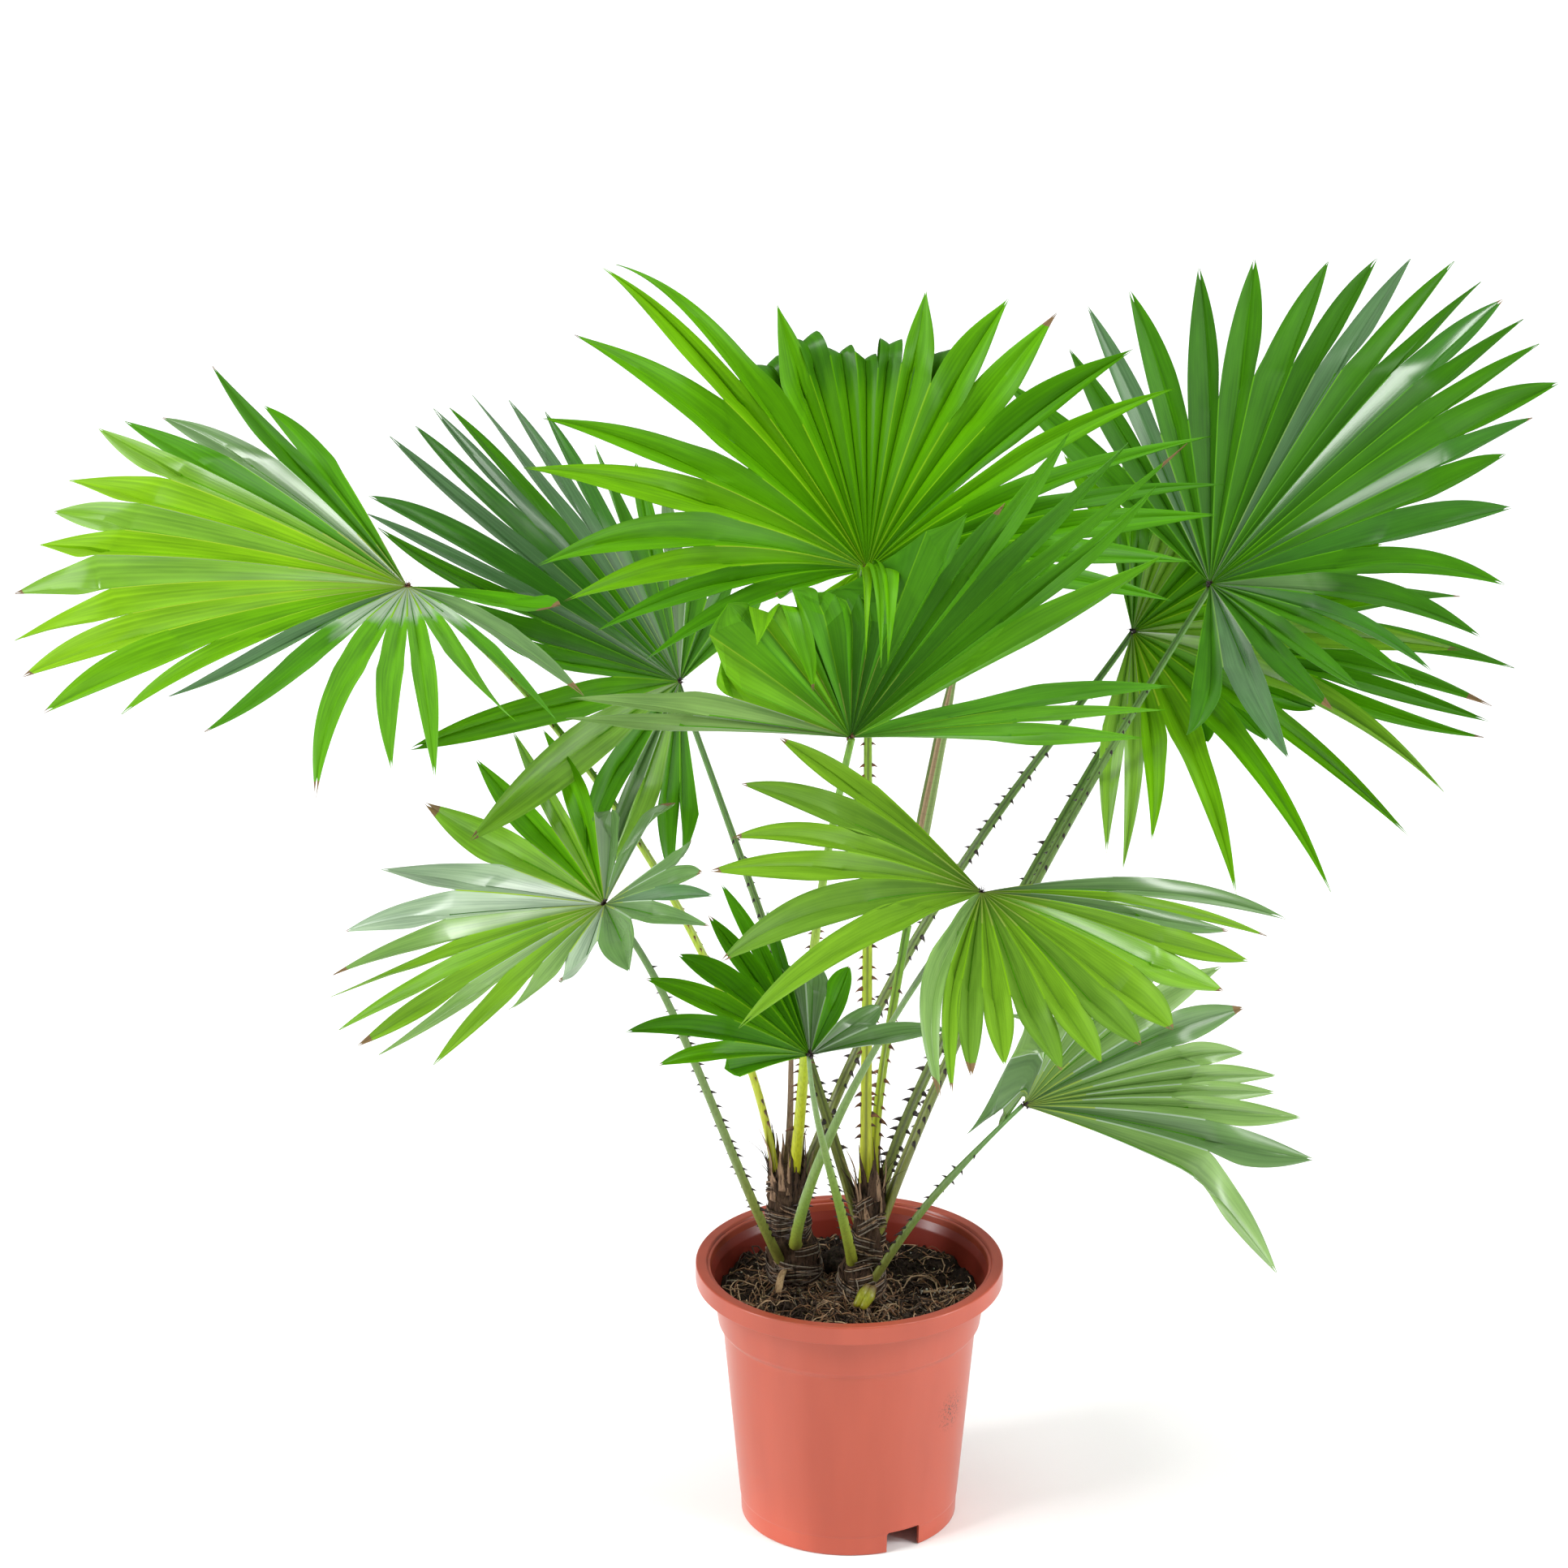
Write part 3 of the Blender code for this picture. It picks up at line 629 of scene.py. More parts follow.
def rags(rng, name, count):
    """Torn strips of sheath that stand up round the top of the stem, and loose hairs."""
    shapes = []
    for i in range(count):
        height = STEMS[name][-1][2] - rng.uniform(0.004, 0.034)
        centre, radius = stem_at(name, height)
        turn = 2 * math.pi * (i + rng.random()) / count
        out = Vector((math.cos(turn), math.sin(turn), 0))
        hair = i % 3 == 2
        long = rng.uniform(0.020, 0.045) if hair else rng.uniform(0.022, 0.058)
        width = 0.00045 if hair else rng.uniform(0.0016, 0.0042)
        flare = rng.uniform(0.1, 0.9) if hair else rng.uniform(-0.12, 0.32)
        points, radii = [], []
        for k in range(9):
            t = k / 8
            sway = 0.002 * math.sin(5 * t + turn)
            away = radius - 0.0008 + long * flare * t * t + sway * t
            rise = long * t * (1 - 0.25 * t * abs(flare))
            points.append(centre + out * away + Vector((0, 0, rise)))
            radii.append(width * max(0.12, 1 - t ** 1.6) * rng.uniform(0.85, 1.1))
        round_way = Vector((-math.sin(turn), math.cos(turn), 0))
        flat = 1.0 if hair else 0.16
        shape = tube(points, radii, 4 if hair else 6, flat, round_way)
        shapes.append((*shape, 2 if hair else rng.choice((0, 3))))
    return shapes


def foot_fibres(rng, name, count):
    """Fibres and young roots that run down over the stem's foot and out into the soil."""
    shapes = []
    for _ in range(count):
        turn, long = rng.uniform(0, 2 * math.pi), rng.uniform(0.018, 0.045)
        height = STEMS[name][0][2] + rng.uniform(0.006, 0.040) * rng.random() ** 0.5
        drift = rng.uniform(-0.9, 0.9)
        points, steps = [], 12
        for k in range(steps):
            t = k / (steps - 1)
            angle = turn + drift * t + 0.10 * math.sin(9 * t + turn)
            centre, radius = stem_at(name, height - (height - STEMS[name][0][2]) * eased(t * 1.6))
            out = radius + 0.0006 + long * eased((t - 0.45) / 0.55)
            x, y = centre.x + out * math.cos(angle), centre.y + out * math.sin(angle)
            r = math.hypot(x, y)
            if r > FIBRE_REACH:
                x, y = x * FIBRE_REACH / r, y * FIBRE_REACH / r
            low = soil_height(x, y) + 0.0006
            z = max(low, height - (height - low) * eased(t * 1.5))
            points.append((x, y, z + 0.0012 * math.sin(7 * t + drift * 9)))
        thick = rng.uniform(0.00030, 0.00078)
        shapes.append((*tube(points, [thick] * (steps - 1) + [thick * 0.4], 4),
                       rng.choices((1, 2, 3), (3, 2, 2))[0]))
    return shapes


def fibrous_stem(name, seed, bands, ragged):
    """A stem with its bark, its fibre bands and its rags."""
    rng = random.Random(seed)
    skins = (wrapped_bark(name + "_bark", (0.003, 0.002, 0.0015), (0.090, 0.052, 0.031)),
             wrapped_bark(name + "_grey_fibre", (0.090, 0.073, 0.058), (0.310, 0.255, 0.205)),
             wrapped_bark(name + "_brown_fibre", (0.006, 0.004, 0.003), (0.070, 0.042, 0.026)),
             wrapped_bark(name + "_rags", (0.045, 0.025, 0.015), (0.400, 0.255, 0.160)))
    shapes = [(*stem_core(name, seed), 0)]
    shapes += fibre_bands(rng, name, bands)
    shapes += foot_fibres(rng, name, FOOT_FIBRES)
    shapes += rags(rng, name, ragged)
    mesh = joined_mesh(name + "_trunk", shapes, skins)
    make_piece(name + "_trunk", mesh, "stem", name)


for stem, making in STEM_MAKING.items():
    fibrous_stem(stem, *making)

# Leaf stalks
# Each fan leaf is carried by a stiff green stalk, flat above and round below, that clasps the
# stem with a widened base. Curved dark spines stand on both edges of the lower part.
STALK_ROWS = 60
SPINE_SPACING = 0.0122
SPINE_LENGTH = 0.0076
KNOT_LUMPS, KNOT_HAIRS = 5, 16  # of the brown knot where a blade's pleats meet

# Where each blade is, because its stalk ends there: its hub, where the pleats meet; the middle
# finger's direction, and that of the upper face; the middle finger's length, and the share of it
# that the fingers at the back lack; how many degrees the fingers are cupped upward, and how far
# they sag; the angles of the first and the last finger. Folds are fingers that bend sharply: at
# which share, by how many degrees, and their length. Parts are ridges that are torn or joined
# further than usual, as shares of the length.
BLADES = {
    "far_left": dict(
        hub=(-0.333, 0.000, 0.773), along=(-0.57, -0.78, -0.26), face=(-0.07, -0.27, 0.96),
        length=0.321, side=0.29, cup=19, sag=0.25, first=-119, last=70, fingers=22,
        parts={1: 0.36, 3: 0.58, 4: 0.64, 5: 0.64, 6: 0.66, 7: 0.68, 8: 0.74, 9: 0.72, 10: 0.70,
               11: 0.66, 12: 0.58, 13: 0.34, 14: 0.30, 15: 0.27, 16: 0.25, 17: 0.24, 18: 0.24,
               19: 0.22, 20: 0.2, 21: 0.2}),
    "left_back": dict(
        hub=(-0.132, 0.140, 0.644), along=(-0.71, -0.32, 0.63), face=(0.71, -0.23, 0.67),
        length=0.314, side=0.36, cup=-2, sag=0.11, first=-121, last=95, fingers=25),
    "top": dict(
        hub=(0.012, 0.060, 0.765), along=(-0.57, 0.63, 0.54), face=(0.16, -0.55, 0.82),
        length=0.342, side=0.20, cup=33, sag=0.45, first=-143, last=145, fingers=29,
        folds={0: (0.70, 0, 0.93), 10: (0.60, 150, 1.0), 11: (0.58, 155, 1.0),
               12: (0.60, 155, 1.0), 13: (0.61, 150, 1.0), 23: (0.70, 0, 0.9),
               26: (0.12, -33, 1.0), 27: (0.12, -35, 1.0), 28: (0.12, -36, 1.0)},
        parts={4: 0.32, 5: 0.26, 6: 0.15, 24: 0.05, 26: 0.05}),
    "centre_front": dict(
        hub=(-0.002, -0.140, 0.706), along=(0.49, -0.17, 0.86), face=(-0.34, 0.87, 0.37),
        length=0.311, side=0.44, cup=6, sag=0.15, first=-101, last=80, fingers=20,
        folds={2: (0.53, -116, 1.0), 4: (0.53, 58, 1.0), 5: (0.65, 169, 1.0),
               6: (0.52, -128, 1.0), 7: (0.51, -125, 1.0), 8: (0.49, -125, 1.0),
               9: (0.44, -125, 1.0)},
        parts={3: 0.55, 4: 0.52, 5: 0.52}),
    "right_high": dict(
        hub=(0.275, 0.100, 0.739), along=(0.73, 0.41, 0.55), face=(-0.49, -0.24, 0.84),
        length=0.326, side=-0.06, cup=13, sag=0.10, first=-118, last=79, fingers=26,
        parts={8: 0.48, 9: 0.60, 10: 0.66, 11: 0.70, 12: 0.68, 13: 0.66, 14: 0.68, 15: 0.66, 16: 0.64,
               17: 0.62, 18: 0.60, 19: 0.62, 20: 0.60, 21: 0.56, 22: 0.52, 23: 0.52, 24: 0.50}),
    "right_low": dict(
        hub=(0.222, 0.200, 0.663), along=(1.00, -0.04, 0.04), face=(-0.06, -0.68, 0.73),
        length=0.311, side=0.48, cup=22, sag=0.39, first=-95, last=97, fingers=16,
        folds={12: (0.70, 0, 0.8), 13: (0.70, 0, 0.65), 14: (0.70, 0, 0.6), 15: (0.70, 0, 0.6)},
        parts={1: 0.26, 2: 0.28, 3: 0.28, 4: 0.30, 5: 0.30, 6: 0.30, 7: 0.30}),
    "front_right": dict(
        hub=(0.094, -0.180, 0.600), along=(-0.54, -0.77, -0.34), face=(0.17, -0.49, 0.85),
        length=0.253, side=0.22, cup=31, sag=0.33, first=-84, last=117, fingers=19,
        parts={6: 0.10, 8: 0.60, 9: 0.62, 10: 0.64, 11: 0.66, 12: 0.66, 13: 0.66, 14: 0.64, 15: 0.62,
               16: 0.60}),
    "front_left": dict(
        hub=(-0.183, -0.170, 0.586), along=(-0.81, -0.28, -0.52), face=(-0.49, -0.19, 0.85),
        length=0.222, side=0.31, cup=17, sag=0.12, first=-140, last=142, fingers=21),
    "small": dict(
        hub=(-0.032, -0.200, 0.478), along=(-0.92, -0.17, 0.35), face=(0.39, -0.47, 0.79),
        length=0.157, side=0.33, cup=15, sag=0.26, first=-152, last=24, fingers=13),
    "lower_right": dict(
        hub=(0.131, -0.080, 0.383), along=(0.53, 0.39, -0.75), face=(0.84, -0.34, 0.42),
        length=0.223, side=0.31, cup=42, sag=0.25, first=-8, last=154, fingers=13,
        folds={0: (0.55, 30, 1.1), 10: (0.59, 111, 0.71), 11: (0.18, 155, 0.54),
               12: (0.20, 165, 0.30)}),
    "right_back": dict(
        hub=(0.254, 0.260, 0.633), along=(0.80, 0.35, 0.10), face=(-0.06, -0.68, 0.73),
        length=0.300, side=0.35, cup=15, sag=0.39, first=-90, last=90, fingers=16),
}
# Each stalk: its stem, where it starts, two points that draw its curve, its radius at the
# start, the middle and the end, the share of its length that bears spines, and its finish.
STALKS = {
    "far_left": ("stem_left", (-0.056, 0.010, 0.275), (-0.069, 0.006, 0.447),
                 (-0.223, 0.003, 0.697), (0.0050, 0.0038, 0.0027), 0.85, "lime"),
    "left_back": ("stem_right", (0.006, 0.006, 0.250), (-0.051, 0.051, 0.433),
                  (-0.057, 0.095, 0.433), (0.0050, 0.0038, 0.0027), 0.80, "green"),
    "top": ("stem_right", (0.012, -0.004, 0.270), (0.013, 0.016, 0.436),
            (0.014, 0.040, 0.599), (0.0050, 0.0038, 0.0027), 0.80, "lime"),
    "centre_front": ("stem_left", (-0.044, 0.010, 0.275), (-0.029, -0.040, 0.443),
                     (-0.037, -0.090, 0.520), (0.0048, 0.0038, 0.0027), 0.75, "lime"),
    "right_high": ("stem_right", (0.022, -0.008, 0.245), (0.094, 0.028, 0.444),
                   (0.187, 0.044, 0.609), (0.0055, 0.0040, 0.0028), 0.85, "green"),
    "right_low": ("stem_left", (-0.040, 0.022, 0.262), (0.041, 0.082, 0.482),
                  (0.148, 0.141, 0.573), (0.0050, 0.0038, 0.0026), 0.90, "green"),
    "front_right": ("stem_left", (-0.042, 0.000, 0.228), (-0.044, -0.061, 0.256),
                    (-0.031, -0.092, 0.384), (0.0052, 0.0040, 0.0026), 0.45, "grey_green"),
    "front_left": ("stem_left", (-0.050, 0.006, 0.203), (-0.096, -0.053, 0.328),
                   (-0.132, -0.111, 0.501), (0.0048, 0.0034, 0.0024), 0.80, "green"),
    "small": ("stem_right", (0.003, -0.013, 0.215), (-0.008, -0.075, 0.308),
              (-0.029, -0.138, 0.388), (0.0050, 0.0034, 0.0022), 0.60, "grey_green"),
    "lower_right": ("stem_right", (0.014, -0.020, 0.200), (0.051, -0.039, 0.275),
                    (0.066, -0.060, 0.304), (0.0045, 0.0034, 0.0024), 0.85, "green"),
    "right_back": ("stem_right", (0.025, 0.004, 0.262), (0.023, 0.088, 0.288),
                   (0.208, 0.175, 0.597), (0.0050, 0.0038, 0.0026), 0.90, "green"),
}


def blade_axes(blade):
    """The middle finger's direction, the direction across it, and the upper face's normal."""
    along = Vector(blade["along"]).normalized()
    face = Vector(blade["face"])
    face = (face - along * face.dot(along)).normalized()
    return along, face.cross(along), face


def bezier(a, b, c, d, t):
    """The point at t on the curve that starts at a, ends at d and is drawn by b and c."""
    s = 1.0 - t
    return s * s * s * a + 3 * s * s * t * b + 3 * s * t * t * c + t * t * t * d


def stalk_skin(name, foot, middle, top):
    """A stalk's smooth skin, which turns from its foot's colour to its top's and is darker in its
    groove as painted shade.
    """
    made, tree, shader, node = bare_material(name, 0.38)
    at = node("ShaderNodeUVMap", {"uv_map": "length"}).outputs["UV"]
    apart = node("ShaderNodeSeparateXYZ", Vector=at)
    colour = ramp(node, apart.outputs["Y"], ((0.0, foot), (0.35, middle), (0.9, top)))
    # The groove on the upper side is darkened: painted shade.
    groove = ramp(node, apart.outputs["X"], ((0.05, (0.42, 0.42, 0.42)), (0.45, (1.0, 1.0, 1.0))))
    place = node("ShaderNodeTexCoord").outputs["Object"]
    tall = node("ShaderNodeMapping", Vector=place, Scale=(700.0, 700.0, 40.0)).outputs["Vector"]
    streaks = node("ShaderNodeTexNoise", Vector=tall, Scale=1.0, Detail=3.0).outputs["Fac"]
    shade = ramp(node, streaks, ((0.3, (0.72, 0.72, 0.72)), (0.6, (1.0, 1.0, 1.0))))
    streaked = multiplied(tree, node, colour, shade)
    grooved = multiplied(tree, node, streaked, groove)
    tree.links.new(grooved, shader.inputs["Base Color"])
    bump = node("ShaderNodeBump", Height=streaks, Strength=0.25, Distance=0.0004)
    tree.links.new(bump.outputs["Normal"], shader.inputs["Normal"])
    return made


def spine_skin(name, base, tip):
    """A woody spine, mottled from a pale to a dark brown."""
    made, tree, shader, node = bare_material(name, 0.5)
    place = node("ShaderNodeTexCoord").outputs["Object"]
    mottle = node("ShaderNodeTexNoise", Vector=place, Scale=220.0, Detail=1.0).outputs["Fac"]
    tree.links.new(ramp(node, mottle, ((0.35, tip), (0.7, base))), shader.inputs["Base Color"])
    return made


STALK_SKINS = {
    "lime": (stalk_skin("stalk_lime", (0.62, 0.60, 0.02), (0.40, 0.52, 0.02), (0.15, 0.34, 0.02)),
             spine_skin("spine_amber", (0.20, 0.070, 0.018), (0.040, 0.012, 0.006))),
    "green": (stalk_skin("stalk_green", (0.26, 0.26, 0.04), (0.155, 0.225, 0.05),
                         (0.10, 0.24, 0.04)),
              spine_skin("spine_dark", (0.030, 0.012, 0.009), (0.008, 0.004, 0.004))),
}
STALK_SKINS["grey_green"] = (
    stalk_skin("stalk_grey_green", (0.38, 0.40, 0.03), (0.18, 0.29, 0.045), (0.14, 0.26, 0.07)),
    STALK_SKINS["green"][1])


def stalk_line(name):
    """The stalk's axis, from inside its stem to just under the middle of its blade."""
    blade = BLADES[name]
    _, start, low, high, radii = STALKS[name][:5]
    face = blade_axes(blade)[2]
    hub, low, high = Vector(blade["hub"]), Vector(low), Vector(high)
    lean = max(0.0, min(1.0, (hub - high).normalized().dot(face)))
    rise = lean * math.tan(math.radians(max(0.0, blade["cup"])))
    edge = radii[2] * max(0.0, math.sqrt(1 - lean * lean) - rise)
    end = hub - face * (0.0006 + 0.35 * edge)
    line = [bezier(Vector(start), low, high, end, i / (STALK_ROWS - 1)) for i in range(STALK_ROWS)]
    heart = stem_at(STALKS[name][0], start[2] - 0.016)[0]
    return [heart.lerp(line[0], k / 4) for k in range(4)] + line


def stalk_sections(line, radii, upper_foot, upper_top, foot_width):
    """The stalk's closed skin: a flat upper side, a round underside and a wide base.

    Returns the points, the faces, and for each row its centre, side and upper direction."""
    shape = ((1.0, 0.10), (0.82, 0.42), (0.42, 0.34), (0.0, 0.26), (-0.42, 0.34), (-0.82, 0.42),
             (-1.0, 0.10), (-0.88, -0.42), (-0.50, -0.80), (0.0, -0.94), (0.50, -0.80),
             (0.88, -0.42))
    low, mid, high = radii
    points, faces, frames = [], [], []
    for i, centre in enumerate(line):
        t = i / (len(line) - 1)
        way = (line[min(i + 1, len(line) - 1)] - line[max(i - 1, 0)]).normalized()
        upper = upper_foot.lerp(upper_top, t)
        upper = (upper - way * upper.dot(way)).normalized()
        side = upper.cross(way)
        radius = low + (mid - low) * t * 2 if t < 0.5 else mid + (high - mid) * (t * 2 - 1)
        wide = radius * (1 + foot_width * max(0.0, 1 - t / 0.16) ** 2)
        points += [centre + side * (wide * x) + upper * (radius * y) for x, y in shape]
        frames.append((centre, side, upper, way, radius))
    count = len(shape)
    for i in range(len(line) - 1):
        for j in range(count):
            a, b = i * count + j, i * count + (j + 1) % count
            faces.append((a, a + count, b + count, b))
    last = (len(line) - 1) * count
    faces.append(tuple(range(count)))
    faces.append(tuple(range(last + count - 1, last - 1, -1)))
    return points, faces, frames


def spine(rng, frames, t, hand, size):
    """One curved spine on an edge of the stalk, with its point bent back to the stem."""
    centre, side, upper, way, radius = frames[int(t * (len(frames) - 1))]
    out = side * hand
    root_spot = centre + out * radius * 0.84 + upper * radius * 0.15
    points, radii = [], []
    for k in range(5):
        s = k / 4
        points.append(root_spot + out * size * s - way * size * 0.45 * s * s
                      + upper * size * 0.12 * s)
        radii.append(size * 0.36 * (1 - s) ** 1.1 + 0.00008)
    return tube(points, radii, 6, 0.55, way)


def hub_knot(rng, hub, upper):
    """The small brown knot with short hairs where the pleats meet."""
    shapes = []
    for _ in range(KNOT_LUMPS):
        spot = hub + upper * rng.uniform(0.0002, 0.0012)
        spot += Vector([rng.uniform(-0.0022, 0.0022) for _ in range(3)])
        shapes.append((*lump(rng, spot, rng.uniform(0.0011, 0.0019)), 1))
    for _ in range(KNOT_HAIRS):
        out = upper * rng.uniform(0.1, 1.0) + Vector([rng.gauss(0, 0.7) for _ in range(3)])
        out.normalize()
        long = rng.uniform(0.004, 0.011)
        hair = [hub + out * long * k / 4 + Vector((0, 0, 0.0012 * math.sin(k)))
                for k in range(5)]
        shapes.append((*tube(hair, (0.00022, 0.00020, 0.00016, 0.00012, 0.00006), 4), 1))
    return shapes


def leaf_stalk(name, node_name, line, radii, spiny, skins, seed, upper_top, foot_width=0.3,
               hub=None):
    """A leaf stalk with its spines, and the knot at its blade's hub, as one piece."""
    rng = random.Random(seed)
    axis = Vector((line[0].x, line[0].y, 0))
    lean = Vector((line[len(line) // 3].x, line[len(line) // 3].y, 0)) - axis
    upper_foot = (Vector((0, 0, 0.35)) - lean.normalized()).normalized()
    points, faces, frames = stalk_sections(line, radii, upper_foot, upper_top, foot_width)
    shapes = [(points, faces, 0)]
    total = sum((b - a).length for a, b in zip(line, line[1:]))
    for hand in (-1, 1):
        at = 0.16 * total + rng.uniform(0, SPINE_SPACING)
        while at < spiny * total:
            t = at / total
            size = SPINE_LENGTH * (1.0 - 0.50 * t / spiny) * rng.uniform(0.60, 1.15)
            shapes.append((*spine(rng, frames, t, hand, size), 1))
            at += SPINE_SPACING * rng.uniform(0.6, 1.35) * (0.85 + 0.5 * t)
    if hub is not None:
        shapes += hub_knot(rng, hub, upper_top)
    mesh = joined_mesh(name, shapes, skins)
    around = len(points) // len(line)
    # The map's height follows the stalk, and its width is 0 in the groove and 1 underneath; the skin
    # darkens the groove by it as painted shade.
    length_map = mesh.uv_layers.new(name="length")
    for loop in mesh.loops:
        row, j = divmod(loop.vertex_index, around)
        if row >= len(line):
            row, j = 0, 0
        groove = (1.0, 0.8, 0.45, 0.0, 0.45, 0.8)[j] if j < 6 else 1.0
        length_map.data[loop.index].uv = (groove, row / (len(line) - 1))
    slot = "petiole_lime" if "lime" in skins[0].name else "petiole_green"
    return make_piece(name, mesh, slot, node_name)


for order, (leaf, (_, _, _, _, radii, spiny, finish)) in enumerate(STALKS.items()):
    upper_face = blade_axes(BLADES[leaf])[2]
    leaf_stalk("stalk_" + leaf, "petiole_" + leaf, stalk_line(leaf), radii, spiny,
               STALK_SKINS[finish], 20 + order, upper_face, hub=Vector(BLADES[leaf]["hub"]))

# Fan blades
# Each blade is one thin leathery sheet, pleated like a fan about its hub. Past its middle the
# pleats part into long fingers with a forked tip. New leaves are yellow-green, older ones dark,
# and those near the floor of the crown have gone greyish.
# Some of the greyish and whitish tints are painted sheen, and the fingers are darkened near the hub
# and in the valleys as painted shade.
RIPPLE_DEGREES, RIPPLE_LENGTH = 1.2, 0.04
LINE_STEPS = 72
JOINED_ROWS, FREE_ROWS, FORK_ROWS = 14, 26, 4
HUB_LINE_ROWS = 6
LEAF_THICKNESS = 0.00045
HUB_ROW, RIDGE_WIDTH, RIB_WIDTH = 0.0026, 0.00075, 0.00070
MAP_HALF_WIDTH = 0.0145  # of a finger on the map that carries its veins
NARROWEST, WIDEST = 0.3, 0.64  # half of a finger, as a share of the angle from one to the next
TORN_NARROWING = 0.38  # how much narrower a finger gets beyond a tear
TEAR_SPREAD = (0.86, 1.16)  # how unevenly the fingers part
# The sheen tint is a painted sheen. The blue, grey and pale tints are partly the greyish green of
# older leaves and partly painted sheen.
LEAF_TINTS = {
    "shade": (0.014, 0.095, 0.001), "deep": (0.026, 0.140, 0.002), "dark": (0.036, 0.180, 0.002),
    "green": (0.052, 0.240, 0.001), "fresh": (0.080, 0.310, 0.001), "bright": (0.115, 0.360, 0.002),
    "lime": (0.180, 0.430, 0.006), "yellow": (0.270, 0.480, 0.020), "blue": (0.066, 0.175, 0.060),
    "grey": (0.098, 0.220, 0.062), "pale": (0.160, 0.320, 0.075), "sheen": (0.290, 0.430, 0.280),
    "moss": (0.100, 0.245, 0.018), "soft": (0.130, 0.310, 0.014), "gloss": (0.150, 0.370, 0.020),
    "wet": (0.030, 0.160, 0.008),
}
# Tints of fingers that turn from one tint near the hub to another further out.
# A sheen or grey tint near the hub is a painted sheen, and the dark outer tint of the top
# blade is the painted shadow of its fingertips folded behind it.
TURNING_TINTS = {
    "sheen_to_fresh": ("sheen", "fresh", 0.080), "sheen_to_green": ("sheen", "green", 0.110),
    "grey_to_deep": ("grey", "deep", 0.150), "fresh_to_dark": ("fresh", "dark", 0.155),
}
# The tint of the ridge beside each tint, where the sheen tint is a painted sheen, and the darker
# tint of the rib in its valley, which is painted shade in the crease.
PALER = {"shade": "dark", "deep": "green", "dark": "fresh", "green": "bright", "fresh": "lime",
         "bright": "yellow", "blue": "pale", "grey": "sheen", "pale": "sheen", "soft": "lime",
         "moss": "soft", "gloss": "pale", "wet": "green"}
VALLEY_SHADE = {"deep": "shade", "dark": "deep", "green": "dark", "fresh": "green", "bright": "fresh",
          "lime": "bright", "yellow": "lime", "blue": "dark", "grey": "green", "pale": "green",
          "moss": "green", "soft": "moss", "gloss": "fresh", "wet": "deep"}
WAXY_TINTS = ("blue", "sheen", "pale", "grey", "gloss", "wet")
